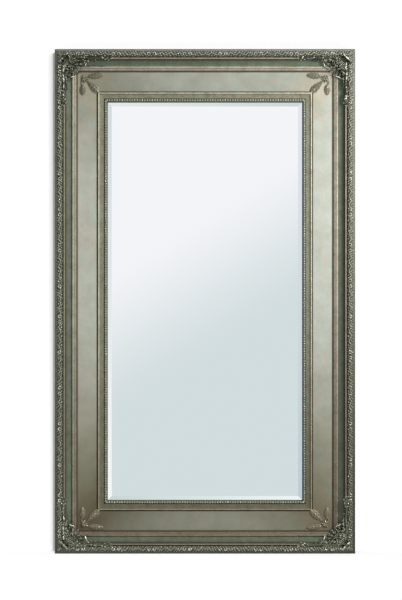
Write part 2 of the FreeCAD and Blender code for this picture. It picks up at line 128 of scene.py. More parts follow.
# several meshes become one: points one after another, faces counted on from the points before them
class Gathered:
    def __init__(self):
        self.points, self.quads, self.caps, self.relief, self.tints, self.count = [], [], [], [], [], 0

    # points and relief as plain lists, one material number for each quad
    def add(self, points, quads, relief, caps=(), tint=0):
        points = points.reshape(-1, 3)
        self.points.append(points)
        self.quads.append(quads + self.count)
        self.caps += [(np.asarray(cap) + self.count).tolist() for cap in caps]
        self.relief.append(relief.reshape(-1))
        self.tints.append(np.broadcast_to(tint, (len(quads),)))
        self.count += len(points)


# mesh object from the gathered parts: doubled points at poles merged, smooth faces, edges over the angle sharp;
# the caps have the last of the materials
def makePiece(name, gathered, materials, sharpDegrees, stands):
    mesh = bpy.data.meshes.new(name)
    quads = np.concatenate(gathered.quads)
    mesh.from_pydata(np.concatenate(gathered.points), [], quads.tolist() + gathered.caps)
    height = mesh.attributes.new("relief", "FLOAT", "POINT")
    height.data.foreach_set("value", np.concatenate(gathered.relief).astype(np.float32))
    tints = np.concatenate(gathered.tints + [np.full(len(gathered.caps), len(materials) - 1)])
    mesh.polygons.foreach_set("material_index", tints.astype(np.int32))
    work = bmesh.new()
    work.from_mesh(mesh)
    bmesh.ops.remove_doubles(work, verts=work.verts, dist=mergeReach)
    work.to_mesh(mesh)
    work.free()
    mesh.polygons.foreach_set("use_smooth", np.ones(len(mesh.polygons), bool))
    mesh.set_sharp_from_angle(angle=math.radians(sharpDegrees))
    for material in materials:
        mesh.materials.append(material)
    piece = bpy.data.objects.new(name, mesh)
    bpy.context.scene.collection.objects.link(piece)
    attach(piece, "frame")
    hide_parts(stands)


# node trees: each method adds a node and gives what it puts out
class NodeNet:
    def __init__(self, tree):
        self.tree = tree

    # each value to the input of its name, or of its number as i0, i1: linked from a node, or set as a constant
    def feed(self, made, **feeds):
        for key, value in feeds.items():
            numbered = key[0] == "i" and key[1:].isdigit()
            socket = made.inputs[int(key[1:]) if numbered else key.replace("_", " ")]
            if isinstance(value, bpy.types.NodeSocket):
                self.tree.links.new(value, socket)
            else:
                socket.default_value = value

    # any node, with its settings and what feeds it
    def node(self, kind, settings=None, **feeds):
        made = self.tree.nodes.new(kind)
        for key, value in (settings or {}).items():
            setattr(made, key, value)
        self.feed(made, **feeds)
        return made

    # place on the object, in metres
    def where(self):
        return self.node("ShaderNodeTexCoord").outputs["Object"]

    # X, Y and Z of a vector
    def axes(self, vector):
        return self.node("ShaderNodeSeparateXYZ", Vector=vector).outputs

    # one operation on its values, held between 0 and 1 if clamped
    def math(self, operation, *feeds, clamp=False):
        inputs = {"i%d" % spot: feed for spot, feed in enumerate(feeds)}
        return self.node("ShaderNodeMath", {"operation": operation, "use_clamp": clamp}, **inputs).outputs[0]

    # first times second
    def times(self, first, second, clamp=False):
        return self.math("MULTIPLY", first, second, clamp=clamp)

    # first plus second
    def plus(self, first, second, clamp=False):
        return self.math("ADD", first, second, clamp=clamp)

    # first less second
    def less(self, first, second, clamp=False):
        return self.math("SUBTRACT", first, second, clamp=clamp)

    # first divided by second
    def over(self, first, second):
        return self.math("DIVIDE", first, second)

    # a value without its sign
    def size(self, value):
        return self.math("ABSOLUTE", value)

    # 1 where the value is over a limit, 0 elsewhere
    def above(self, value, limit):
        return self.math("GREATER_THAN", value, limit)

    # straight or smooth ramp of a value from one span to another, held at its ends
    def span(self, value, low, high, toLow=0.0, toHigh=1.0, shape="LINEAR"):
        ends = dict(i1=low, i2=high, i3=toLow, i4=toHigh)
        return self.node("ShaderNodeMapRange", {"interpolation_type": shape}, i0=value, **ends).outputs[0]

    # colour that goes from the first to the second by a share
    def mix(self, share, first, second, blend="MIX"):
        made = self.node("ShaderNodeMix", {"data_type": "RGBA", "blend_type": blend, "clamp_factor": True},
                         i0=share, i6=first, i7=second)
        return made.outputs[2]

    # colour that goes from itself to itself times a tint, by a share
    def tint(self, share, colour, tint):
        return self.mix(share, colour, tint, "MULTIPLY")

    # value that goes from the first to the second by a share
    def between(self, share, first, second):
        return self.node("ShaderNodeMix", {"data_type": "FLOAT"}, i0=share, i2=first, i3=second).outputs[0]

    # colour read off a row of stops, straight between them
    def ramp(self, value, stops):
        made = self.node("ShaderNodeValToRGB", i0=value)
        while len(made.color_ramp.elements) < len(stops):
            made.color_ramp.elements.new(0.5)
        for element, (position, colour) in zip(made.color_ramp.elements, stops):
            element.position = position
            element.color = colour
        return made.outputs[0]

    # fractal noise of 0 to 1, its scale in turns a metre where the vector is a place
    def noise(self, vector, scale, detail=4.0, roughness=0.55, distortion=0.0):
        made = self.node("ShaderNodeTexNoise", Vector=vector, Scale=scale, Detail=detail, Roughness=roughness,
                         Distortion=distortion)
        return made.outputs[0]


# colour written as red, green, blue of 0 to 255, as a screen shows it, made linear
def paint(red, green, blue):
    share = np.array([red, green, blue]) / 255
    linear = np.where(share <= 0.04045, share / 12.92, ((share + 0.055) / 1.055) ** 2.4)
    return tuple(float(value) for value in linear) + (1.0,)


# empty node group with its sockets, named under their kinds; gives it, its net, what it is given and its output node
def newGroup(name, given, out):
    group = bpy.data.node_groups.new(name, "ShaderNodeTree")
    kinds = {"colour": "NodeSocketColor", "value": "NodeSocketFloat", "vector": "NodeSocketVector"}
    for way, sockets in (("INPUT", given), ("OUTPUT", out)):
        for kind, socketNames in sockets.items():
            for socketName in socketNames:
                group.interface.new_socket(socketName, in_out=way, socket_type=kinds[kind])
    return group, NodeNet(group), group.nodes.new("NodeGroupInput").outputs, group.nodes.new("NodeGroupOutput")


# inset: distance in from the nearest outer edge of the frame, in millimetres;
# run: place along that side; upright: 1 on the stiles, 0 on the rails; mitre: how far from the joint of two sides
def frameDistanceGroup():
    group, net, _, out = newGroup("frameDistance", {}, {"value": ("Inset", "Run", "Upright", "Mitre")})
    axes = net.axes(net.where())
    x, z = [net.over(axes[axis], mm) for axis in ("X", "Z")]
    fromSide = net.less(halfWidth, net.size(x))
    fromEnd = net.less(frameHeight / 2, net.size(net.less(z, frameHeight / 2)))
    upright = net.math("LESS_THAN", fromSide, fromEnd)
    net.feed(out, Inset=net.math("MINIMUM", fromSide, fromEnd), Run=net.between(upright, x, z), Upright=upright,
             Mitre=net.size(net.less(fromSide, fromEnd)))
    return group


# aged leaf: each noise has scale, detail, roughness and distortion, the first and the tarnish scaled by the material;
# spans say between which values of a noise or relief an effect comes in
agedLook = Look(
    cloud=(6.0, 0.62), fleck=(420.0, 3.0, 0.6), patch=(38.0, 5.0, 0.65, 0.6), mottle=(170.0, 2.0, 0.6),
    broken=(115.0, 2.0, 0.5), tarnish=(5.0, 0.6, 0.4), tarnishScale=2.3, tarnishSpan=(0.36, 0.64),
    cool=(0.96, 1.01, 0.98, 1), warm=(1.06, 0.98, 0.93, 1), dull=(0.58, 0.54, 0.46, 1),
    cloudSpan=(0.34, 0.68), mottleSpan=(0.36, 0.64, -0.5, 0.5), washBreak=0.35, washSpan=(0.16, 0.58, 1.0, 0.0),
    rubSpan=(0.86, 1.12, 0.0, 1.0), speckSpan=(0.66, 0.74), speckShare=0.35, roughSpan=(0.3, 0.75, -0.06, 0.12),
    washRough=0.25, washMatt=0.75, fleckHeight=0.4, patchHeight=0.6,
)


# aged metal leaf: clouded leaf colour, brown wash pooled where the relief is low, partly antiquing in the hollows and
# partly painted shade; bole rubbed bare where it is high, which on the pale boles is a painted highlight; fine pits
# and patches as height
def agedLeafGroup():
    a = agedLook
    group, net, given, out = newGroup(
        "agedLeaf",
        {"colour": ("Leaf", "Wash", "Bole"),
         "value": ("Relief", "Wash Share", "Rub Share", "Rub Break", "Gloss", "Cloud Scale", "Cloud Share", "Mottle")},
        {"colour": ["Colour"], "value": ("Roughness", "Height", "Metal")})
    where = net.where()
    fleck, patch, mottle, broken = [net.noise(where, *a[name]) for name in ("fleck", "patch", "mottle", "broken")]
    cloud = net.noise(where, given["Cloud Scale"], *a.cloud)
    tarnish = net.noise(where, net.times(given["Cloud Scale"], a.tarnishScale), *a.tarnish)
    tinted = net.tint(1.0, given["Leaf"], net.mix(net.span(tarnish, *a.tarnishSpan), a.cool, a.warm))
    mottled = net.times(net.span(mottle, *a.mottleSpan), given["Mottle"])
    dull = net.plus(net.times(net.span(cloud, *a.cloudSpan), given["Cloud Share"]), mottled, clamp=True)
    clouded = net.tint(dull, tinted, a.dull)
    # recesses hold the wash, broken up by the patchy noise; there it is partly antiquing and partly painted shade
    depth = net.plus(given["Relief"], net.times(net.less(patch, 0.5), a.washBreak))
    washAndShadeShare = net.times(net.span(depth, *a.washSpan, "SMOOTHSTEP"), given["Wash Share"], clamp=True)
    washedAndShaded = net.mix(washAndShadeShare, clouded, given["Wash"])
    # crests are rubbed through in broken dashes: worn leaf, and a painted highlight where the bole is pale
    crest = net.plus(given["Relief"], net.times(net.less(broken, 0.5), given["Rub Break"]))
    rubAndHighlightShare = net.times(net.span(crest, *a.rubSpan, "SMOOTHSTEP"), given["Rub Share"], clamp=True)
    rubbedAndHighlit = net.mix(rubAndHighlightShare, washedAndShaded, given["Bole"])
    # dark fly specks of the antiquing
    speck = net.times(net.span(fleck, *a.speckSpan), a.speckShare)
    rough = net.plus(given["Gloss"], net.span(patch, *a.roughSpan))
    net.feed(out, Colour=net.mix(speck, rubbedAndHighlit, given["Wash"]),
             Roughness=net.plus(rough, net.times(washAndShadeShare, a.washRough), clamp=True),
             Height=net.plus(net.times(fleck, a.fleckHeight), net.times(patch, a.patchHeight)),
             Metal=net.less(1.0, net.times(washAndShadeShare, a.washMatt), clamp=True))
    return group


# timber: noises with scale, detail, roughness and distortion, and the spans over which they show
grainLook = Look(grain=(1.0, 5.0, 0.6, 0.8), pore=(6.0, 2.0, 0.7), dust=(12.0, 4.0), toneSpan=(0.3, 0.7),
                 poreSpan=(0.58, 0.7), dustSpan=(0.45, 0.8, 0.0, 0.14), dustTone=(0.42, 0.39, 0.34, 1),
                 roughSpan=(0.2, 0.8, 0.62, 0.8), poreHeight=0.5)


# sawn or planed timber: noise stretched along the grain, darker pores, dust in patches
def timberGroup():
    g = grainLook
    group, net, given, out = newGroup(
        "timber", {"colour": ("Pale", "Dark"), "vector": ["Stretch"], "value": ["Pores"]},
        {"colour": ["Colour"], "value": ("Roughness", "Height")})
    where = net.where()
    stretched = net.node("ShaderNodeVectorMath", {"operation": "MULTIPLY"}, i0=where, i1=given["Stretch"]).outputs[0]
    grain, pore, dust = net.noise(stretched, *g.grain), net.noise(stretched, *g.pore), net.noise(where, *g.dust)
    tone = net.mix(net.span(grain, *g.toneSpan), given["Pale"], given["Dark"])
    pitted = net.mix(net.times(net.span(pore, *g.poreSpan), given["Pores"]), tone, given["Dark"])
    net.feed(out, Colour=net.mix(net.span(dust, *g.dustSpan), pitted, g.dustTone),
             Roughness=net.span(grain, *g.roughSpan), Height=net.plus(grain, net.times(pore, g.poreHeight)))
    return group


groups = {"frameDistance": frameDistanceGroup(), "agedLeaf": agedLeafGroup(), "timber": timberGroup()}


# new material with its net and its shader
def newMaterial(name):
    material = bpy.data.materials.new(name)
    material.use_nodes = True
    return material, NodeNet(material.node_tree), material.node_tree.nodes["Principled BSDF"]


# what one of the groups puts out
def useGroup(net, name, **feeds):
    return net.node("ShaderNodeGroup", {"node_tree": groups[name]}, **feeds).outputs


# aged leaf of a look, with the tone, the bole that is also a painted highlight on the crests, and the relief that
# other nodes give
def agedLeaf(net, look, tone, bole, relief):
    return useGroup(net, "agedLeaf", Leaf=tone, Wash=look.wash, Bole=bole, Relief=relief, Wash_Share=look.washShare,
                    Rub_Share=look.rubShare, Rub_Break=look.rubBreak, Gloss=look.gloss, Cloud_Scale=look.cloud,
                    Cloud_Share=look.cloudShare, Mottle=look.mottle)


# colour, roughness, metal, and height as a bump of a strength and so many metres, into the shader's sockets
def finish(net, shader, colour, rough, metal, height, bump):
    made = net.node("ShaderNodeBump", Strength=bump[0], Distance=bump[1], Height=height)
    net.feed(shader, Base_Color=colour, Roughness=rough, Metallic=metal, Normal=made.outputs[0])


rightShadeTint = (0.40, 0.38, 0.33, 1)
rightShadeHeights = (0.2, 1.4)  # metres up the right stile: all of the foot's share below, all of the head's share above


# metal leaf over a carved or moulded surface; tone is a colour or a ramp over the inset from the outer edge
def leafMaterial(name, look):
    material, net, shader = newMaterial(name)
    relief = net.node("ShaderNodeAttribute", {"attribute_name": "relief"}).outputs["Fac"]
    tone, bole = look.tone, look.bole
    # the foot of the frame has another tint than its head: darker and browner on the mouldings and the band, partly age
    # and partly painted shade; lighter on the corner ornaments and the sprays, a painted light; and the rubbed crests
    # take a paler painted highlight towards the foot
    axes = net.axes(net.where())
    aged = net.span(axes["Z"], 0.0, look.footReach, 1.0, 0.0, "SMOOTHSTEP")
    if isinstance(tone, list):
        reach = look.reach
        inset = net.over(useGroup(net, "frameDistance")["Inset"], reach)
        tone = net.ramp(inset, [(spot / reach, paint(*colour)) for spot, *colour in tone])
        shares = [(spot / reach, (share, share, share, 1)) for spot, share in look.footShares]
        aged = net.times(aged, net.ramp(inset, shares))
    tone = net.tint(aged, tone, look.footTint)
    if "footBole" in look:
        bole = net.mix(aged, bole, look.footBole)
    # painted shade on the right stile, in strips from one place across it outwards, more of it towards the foot
    for start, end, headShare, footShare in look.dirt:
        dirt = net.times(net.span(axes["X"], start, end), net.span(axes["Z"], *rightShadeHeights, footShare, headShare))
        tone, bole = [net.tint(dirt, clean, rightShadeTint) for clean in (tone, bole)]
    leaf = agedLeaf(net, look, tone, bole, relief)
    metal = net.times(leaf["Metal"], look.metal)
    finish(net, shader, leaf["Colour"], leaf["Roughness"], metal, leaf["Height"], look.bump)
    return material


mouldingLook = Look(
    reach=200.0,  # the ramps end here, millimetres in from the outer edge
    # place, red, green, blue: border, bed of the band, fillet, cove, bead, step, then the sight moulding; the dark
    # stops at the outer edge, in the quirks on either side of the fillet, at the step's joint with the panel and at
    # both edges of the sight moulding are painted shade
    tone=[(0, 84, 85, 80), (3.5, 116, 118, 112), (8, 124, 125, 117), (30, 58, 48, 38), (33.2, 64, 53, 43),
             (34.2, 162, 155, 141), (38, 144, 136, 121), (39.6, 62, 56, 44), (42, 58, 62, 48), (47, 86, 95, 78),
             (60, 98, 108, 90), (63.5, 116, 118, 102), (66, 168, 163, 148), (76, 154, 147, 132), (81, 122, 111, 95),
             (83, 72, 59, 47), (86, 72, 59, 47), (160, 74, 66, 53), (163, 80, 71, 57), (164.5, 196, 193, 174),
             (167.5, 188, 184, 164), (169.5, 126, 124, 106), (184, 122, 122, 104), (188, 70, 72, 60)],
    wash=paint(62, 58, 42), bole=paint(122, 100, 80), washShare=0.85, rubShare=0.35, gloss=0.40,
    cloud=34.0, cloudShare=0.7, mottle=0.55, rubBreak=1.6, metal=0.28, bump=(0.18, 0.0008),
    # towards the foot darker and browner, partly age and partly painted shade, by these shares of the inset
    footReach=1.2, footTint=(0.42, 0.37, 0.28, 1),
    footShares=[(0, 1.0), (9, 1.0), (29, 0.5), (40, 0.35), (44, 0.06), (60, 0.06), (64, 0.8), (86, 0.8), (160, 0.6),
                   (163, 0.9), (168, 0.9), (170, 0.8), (200, 0.8)],
    # strips of painted shade on the right stile: start and end in metres from the middle, share at the head and at the
    # foot
    dirt=[(0.500, 0.508, 0.12, 0.36), (0.556, 0.563, 0.4, 0.7), (0.566, 0.569, 0.4, 0.5)],
)
# on the band and the looks made from it the pale bole is a painted highlight rubbed onto the crests, paler still at the
# foot; the dark wash is partly antiquing and partly painted shade in the hollows; a strip of painted shade on the right
# stile
bandLook = Look(
    tone=paint(136, 138, 121), wash=paint(44, 43, 31), bole=paint(226, 224, 204), footBole=paint(252, 250, 238),
    washShare=0.95, rubShare=0.9, gloss=0.34, cloud=40.0, cloudShare=0.45, mottle=0.0, rubBreak=1.6,
    metal=0.38, bump=(0.2, 0.0008), footReach=1.1, footTint=(0.92, 0.9, 0.87, 1), dirt=[(0.546, 0.560, 0.2, 0.8)],
)
beadingLook = Look(bandLook, tone=paint(134, 140, 127), wash=paint(76, 78, 66), washShare=0.85, rubShare=0.18)
# the foot tints of the ornaments and the sprays lighten them towards the foot, a painted light
acanthusLook = Look(bandLook, tone=paint(60, 62, 47), wash=paint(26, 26, 17), bole=paint(232, 230, 208),
                    footBole=paint(240, 238, 220), washShare=0.97, rubShare=0.95, gloss=0.30, metal=0.5, rubBreak=1.1,
                    footTint=(2.1, 2.08, 2.05, 1))
sprayLook = Look(bandLook, tone=paint(108, 105, 88), wash=paint(50, 42, 31), bole=paint(164, 160, 140),
                 footBole=paint(210, 200, 178), washShare=0.9, metal=0.35, rubShare=0.85, footTint=(1.2, 1.1, 1.0, 1))

leafFinish = {
    "moulding": leafMaterial("silverLeafMoulding", mouldingLook),
    "band": leafMaterial("carvedBandLeaf", bandLook),
    "beading": leafMaterial("beadingLeaf", beadingLook),
    "acanthus": leafMaterial("acanthusLeaf", acanthusLook),
    "spray": leafMaterial("sprayLeaf", sprayLook),
}

woodPores = 0.45
timberLook = Look(pale=paint(176, 142, 100), dark=paint(120, 88, 58), stretch=(14.0, 90.0, 90.0), bump=(0.25, 0.0008))
hardboardLook = Look(pale=paint(128, 98, 70), dark=paint(104, 78, 54), stretch=(160.0, 160.0, 160.0),
                     bump=(0.15, 0.0008))
stainLook = Look(pale=paint(86, 70, 54), dark=paint(58, 46, 36), stretch=(30.0, 90.0, 30.0), bump=(0.2, 0.0008))


# what the timber group puts out for a look, its grain stretched one way or the other
def timber(net, look, stretch):
    return useGroup(net, "timber", Pale=look.pale, Dark=look.dark, Stretch=stretch, Pores=woodPores)


# timber, board or stained wood: the timber group alone
def timberMaterial(name, look):
    material, net, shader = newMaterial(name)
    wood = timber(net, look, look.stretch)
    finish(net, shader, wood["Colour"], wood["Roughness"], 0.0, wood["Height"], look.bump)
    return material


bareWood = timberMaterial("bareWood", timberLook)
hardboard = timberMaterial("hardboard", hardboardLook)
stainedWood = timberMaterial("stainedWood", stainLook)
print("materials: leaf and timber made")

# mouldings: outlines of width and rise, in millimetres from the outer edge and the back
outerShape = Look(sideRise=50.0, bedDepth=2.0, bandQuirk=3.6, quirk=1.2, filletWidth=10.0, filletFoot=54.0,
                  filletRise=58.0, filletDome=2.6, coveWidth=24.0, coveFoot=41.0, beadWidth=9.0, beadDome=4.6,
                  stepGap=0.8, stepRise=43.4, stepNose=4.0, stepDome=1.0, panelQuirk=2.6, panelLip=0.3,
                  rebateLap=15.0, arris=0.6)
sightShape = Look(tongueRise=28.0, quirk=2.0, floorRise=33.0, beadWidth=5.5, beadWall=5.0, beadDome=3.4,
                  slopeWidth=17.5, slopeRise=34.5, bedRise=31.0, shoulderRise=23.67, tongueEnd=187.0)
# points of the sweep; relief: sample, reach of the mean, depth of its range and what even ground has; angle of edges
mouldingGrid = Look(stations=41, arcPoints=13, sample=0.25, reach=3.0, depth=5.0, even=0.55, rear=0.5, sharp=40)


# half oval standing on a chord: width goes as a cosine, height as a sine
def halfOval(start, end, rise):
    turn = np.linspace(0, math.pi, mouldingGrid.arcPoints)
    share = (1 - np.cos(turn)) / 2
    return np.stack([start[0] + (end[0] - start[0]) * share,
                     start[1] + (end[1] - start[1]) * share + rise * np.sin(turn)], -1)


# quarter oval between two points, steep at the first and flat at the second
def quarterOval(start, end):
    turn = np.linspace(0, math.pi / 2, mouldingGrid.arcPoints)
    return np.stack([start[0] + (end[0] - start[0]) * (1 - np.cos(turn)),
                     start[1] + (end[1] - start[1]) * np.sin(turn)], -1)


# how far each point of an outline stands above the mean rise of its neighbours, as 0 in a quirk to 1 on a crest
def standing(outline, frontCount):
    g = mouldingGrid
    front = outline[:frontCount]
    order = np.argsort(front[:, 0], kind="stable")
    grid = np.arange(front[:, 0].min(), front[:, 0].max(), g.sample)
    level = np.interp(grid, front[order, 0], front[order, 1])
    size = int(g.reach / g.sample)
    mean = np.convolve(np.pad(level, size, mode="edge"), np.ones(2 * size + 1) / (2 * size + 1), mode="valid")
    relief = np.full(len(outline), g.rear)
    relief[:frontCount] = np.clip(g.even + (front[:, 1] - np.interp(front[:, 0], grid, mean)) / g.depth, 0, 1)
    return relief


# outline carried along a side: every point runs between the two mitres, so the ends are cut at 45 degrees
def mitredLength(side, outline, relief, stations, tints):
    share = np.linspace(0, 1, stations)[:, None]
    across = outline[None, :, 0]
    points = place(side, mitredRun(side, across, share), across, outline[None, :, 1])
    count = len(outline)
    return (points, gridQuads(stations, count, True), np.broadcast_to(relief, (stations, count)),
            endCaps(stations, count), np.tile(tints, stations - 1))


# from the foot of the side over border, bed of the band, fillet, cove, bead and step, then the rebate behind
def outerOutline():
    s = outerShape
    fillet = bandEnd + s.bandQuirk
    cove = bandEnd + s.filletWidth
    bead = cove + s.coveWidth
    step = bead + s.beadWidth
    bed = s.sideRise + bandStart - s.bedDepth
    nose = panelStart - s.panelQuirk
    lip = panelRise + s.panelLip
    front = np.concatenate([
        [(0.0, s.arris), (0.0, s.sideRise * 0.5), (0.0, s.sideRise)],
        quarterOval((0.0, s.sideRise), (bandStart, s.sideRise + bandStart))[1:],
        [(bandStart, bed), (bandEnd, bed), (bandEnd, s.filletFoot), (fillet, s.filletFoot)],
        halfOval((fillet, s.filletRise), (cove - s.quirk, s.filletRise), s.filletDome),
        [(cove - s.quirk, s.filletFoot)],
        quarterOval((cove, s.filletFoot), (bead, s.coveFoot)),
        halfOval((bead, s.coveFoot), (step, s.coveFoot), s.beadDome),
        halfOval((step + s.stepGap, s.stepRise), (nose, s.stepRise - s.stepNose), s.stepDome),
        [(nose, lip), (panelStart, lip), (panelStart, panelRise)]])
    rebate = panelStart - s.rebateLap
    rear = np.array([(rebate, panelRise), (rebate, 0.0), (s.arris, 0.0)])
    return np.concatenate([front, rear]), len(front)


# from the panel over quirk, bead and slope to the bed of the pearls, then the tongue behind
def sightOutline():
    s = sightShape
    bead = sightStart + s.quirk
    foot = s.floorRise + s.beadWall
    slope = bead + s.beadWidth
    bed = slope + s.slopeWidth
    front = np.concatenate([
        [(sightStart, s.tongueRise), (sightStart, s.floorRise), (bead, s.floorRise)],
        halfOval((bead, foot), (slope, foot), s.beadDome),
        quarterOval((slope, foot), (bed, s.slopeRise))[1:],
        [(bed, s.bedRise), (sightEnd, s.bedRise), (sightEnd, s.shoulderRise)]])
    rear = np.array([(s.tongueEnd, s.shoulderRise), (s.tongueEnd, s.tongueRise)])
    return np.concatenate([front, rear]), len(front)


# each outline swept along the four sides: leaf on the faces of the front, stained wood on the others
def makeMouldings():
    for kind, (outline, frontCount) in (("outer_moulding", outerOutline()), ("sight_moulding", sightOutline())):
        relief = standing(outline, frontCount)
        tints = (np.arange(len(outline)) >= frontCount - 1).astype(int)
        for side in sideFrames:
            gathered = Gathered()
            gathered.add(*mitredLength(side, outline, relief, mouldingGrid.stations, tints))
            makePiece(kind + "Leafed_" + side, gathered, [leafFinish["moulding"], stainedWood], mouldingGrid.sharp,
                      kind + "_" + side)


makeMouldings()
print("mouldings: outer and sight lengths swept")

# carved band: slanted leaf tongues on a rounded strip, parted by curls, from the middle of each side to its corners
bandShape = Look(
    bedRise=57.0, floor=0.4, wall=1.6, crest=69.0, depth=4.8, dome=0.8, edge=2.2, gain=1.2,
    pitch=10.4, slant=0.6, tongue=1.1, crease=0.2, creaseWidth=0.07, rowPitch=7.2, rowShift=1.4,
    web=0.16, weave=2.6, weavePitches=3.4, waver=0.16, waverLengths=(14.3, 37.0),
    uneven=0.16, unevenLengths=(9.1, 23.0), unevenSlant=1.7,
    group=13, curlPair=8.6, curlPitch=6.8, curlReach=8.8, curlShift=0.8, curlFade=2.0, curlRound=1.3,
    stemRise=0.6, stemSway=1.5, stemWidth=1.5, step=0.95, acrossPoints=23, sharp=70,
)


# a cosine lifted to 0 to 1, one wave for each whole number of the phase
def wave(phase):
    return 0.5 + 0.5 * np.cos(2 * math.pi * phase)


# relief of the carving, 0 to 1 times the gain: cosine of the slanted run gives the tongues, a cosine across them their
# lobes, with a crease down each; two spiral cosines face each other in their place once in each group; a thin stem
# weaves as a sine of the run
def bandRelief(run, across, length):
    s = bandShape
    aside = across * (bandEnd - bandStart) / 2
    pitch = length / round(length / s.pitch)
    fromMiddle = np.abs(run - length / 2)
    weave = s.weave * np.sin(2 * math.pi * fromMiddle / (pitch * s.weavePitches))
    woven = aside + weave
    waver = sum(s.waver * np.sin(fromMiddle / size) for size in s.waverLengths)
    phase = (fromMiddle + s.slant * woven) / pitch + waver
    crease = s.crease * np.exp(-((phase - np.round(phase)) / s.creaseWidth) ** 2)
    lobes = wave((woven + s.rowShift) / s.rowPitch)
    first, second = [fromMiddle / size for size in s.unevenLengths]
    uneven = 1 - s.uneven + s.uneven * np.sin(first + s.unevenSlant * across) * np.sin(second)
    leaf = wave(phase) ** s.tongue * (1 - crease) * (s.web + (1 - s.web) * lobes) * uneven
    group = pitch * s.group
    inGroup = np.abs(fromMiddle - group * (np.floor(fromMiddle / group) + 0.5)) - s.curlPair
    reach = np.hypot(inGroup, aside - s.curlShift)
    turn = np.arctan2(aside - s.curlShift, inGroup)
    spiral = wave(reach / s.curlPitch - turn / (2 * math.pi))
    inCurl = np.clip((s.curlReach - reach) / s.curlFade, 0, 1)
    stem = s.stemRise * np.exp(-((aside - s.stemSway * weave) / s.stemWidth) ** 2)
    return s.gain * (np.maximum(leaf, stem) * (1 - inCurl) + spiral ** s.curlRound * inCurl)


# strip with a domed top: the carving is cut into the dome by its depth, less towards the edges, and not below the floor
def makeCarvedBands():
    s = bandShape
    turn = np.linspace(0, math.pi, s.acrossPoints)
    aside = -np.cos(turn)
    foot = s.bedRise + s.wall
    dome = foot + (s.crest - foot) * np.sin(turn) ** s.dome
    cut = s.depth * np.clip(np.sin(turn) * s.edge, 0, 1)
    across = (bandStart + bandEnd) / 2 + aside * (bandEnd - bandStart) / 2
    for side in sideFrames:
        length = sideFrames[side][3]
        stations = int(length / s.step)
        share = np.linspace(0, 1, stations)[:, None]
        run = mitredRun(side, across[None], share)
        relief = bandRelief(run, np.broadcast_to(aside, run.shape), length)
        rise = np.maximum(dome - cut * (1 - relief / s.gain), s.bedRise + s.floor)
        # two more points close the strip along its bed
        closed = np.concatenate([across, [bandEnd, bandStart]])
        rise = np.concatenate([rise, np.full((stations, 2), s.bedRise)], 1)
        relief = np.concatenate([relief, np.zeros((stations, 2))], 1)
        gathered = Gathered()
        gathered.add(place(side, mitredRun(side, closed[None], share), closed[None], rise),
                     gridQuads(stations, len(closed), True), relief, endCaps(stations, len(closed)))
        makePiece("carvedScroll_" + side, gathered, [leafFinish["band"]], s.sharp,
                  "carved_band_" + side)


makeCarvedBands()
print("carved bands: scroll relief made")

# beading: a flat strip with bevelled edges and a row of half pearls, a little longer than wide
beadingShape = Look(bedRise=31.0, strip=2.0, bevel=(0.8, 0.6), stations=9, pearl=4.2, long=1.02, pitch=9.5,
                    around=10, up=5, stripRelief=0.12, footRelief=0.2, sharp=60)


# half pearls: a quarter circle turned about the forward axis, one copy at every pitch
def makeBeading():
    s = beadingShape
    centre = (beadLow + beadHigh) / 2
    top = s.bedRise + s.strip
    wide, deep = s.bevel
    outline = np.array([(beadLow, s.bedRise), (beadLow, top - deep), (beadLow + wide, top), (beadHigh - wide, top),
                        (beadHigh, top - deep), (beadHigh, s.bedRise)])
    turns, lifts = np.linspace(0, 2 * math.pi, s.around + 1), np.linspace(0, math.pi / 2, s.up)
    turn, lift = np.meshgrid(turns, lifts, indexing="ij")
    relief = s.footRelief + (1 - s.footRelief) * np.sin(lift)
    for side in sideFrames:
        gathered = Gathered()
        flat = np.full(len(outline), s.stripRelief)
        gathered.add(*mitredLength(side, outline, flat, s.stations, np.zeros(len(outline))))
        free = sideFrames[side][3] - 2 * centre - s.pitch
        count = int(free / s.pitch)
        middles = centre + s.pitch / 2 + free * np.arange(count + 1) / count
        run = middles[:, None, None] + s.pearl * s.long * np.cos(lift) * np.cos(turn)
        across = centre + s.pearl * np.cos(lift) * np.sin(turn) + 0 * run
        rise = top + s.pearl * np.sin(lift) + 0 * run
        quads = copyQuads(gridQuads(s.around + 1, s.up, False), turn.size, count + 1)
        feet = turn.size * np.arange(count + 1)[:, None] + s.up * np.arange(s.around)[None, ::-1]
        gathered.add(place(side, run, across, rise), quads, np.broadcast_to(relief, run.shape), feet)
        makePiece("pearlRow_" + side, gathered, [leafFinish["beading"]], s.sharp,
                  "sight_beading_" + side)


makeBeading()
print("beading: pearl rows made")

# carved leaf: shares of its half width and of its length
leafShape = Look(thick=0.7, back=0.5, lobes=3, lobeDepth=0.3, flute=0.45, fluteSlant=0.7, rib=0.25,
                 ribWidth=0.16, rings=17, around=12, belly=0.9, ends=0.75, arch=0.0, tipCurl=0.0,
                 tipStart=0.65, dish=0.0, rim=(0.86, 0.1, 1.6), lit=0.5, veins=0.6, low=0.08, gain=1.15,
                 ribGain=0.6, most=1.25)


# across and upward along a path: across is level and square to the path, upward square to both
def pathFrame(path):
    ahead = np.gradient(path, axis=-2)
    ahead /= np.linalg.norm(ahead, axis=-1)[..., None]
    across = np.cross([0.0, 0.0, 1.0], ahead)
    across /= np.linalg.norm(across, axis=-1)[..., None]
    return across, np.cross(ahead, across)


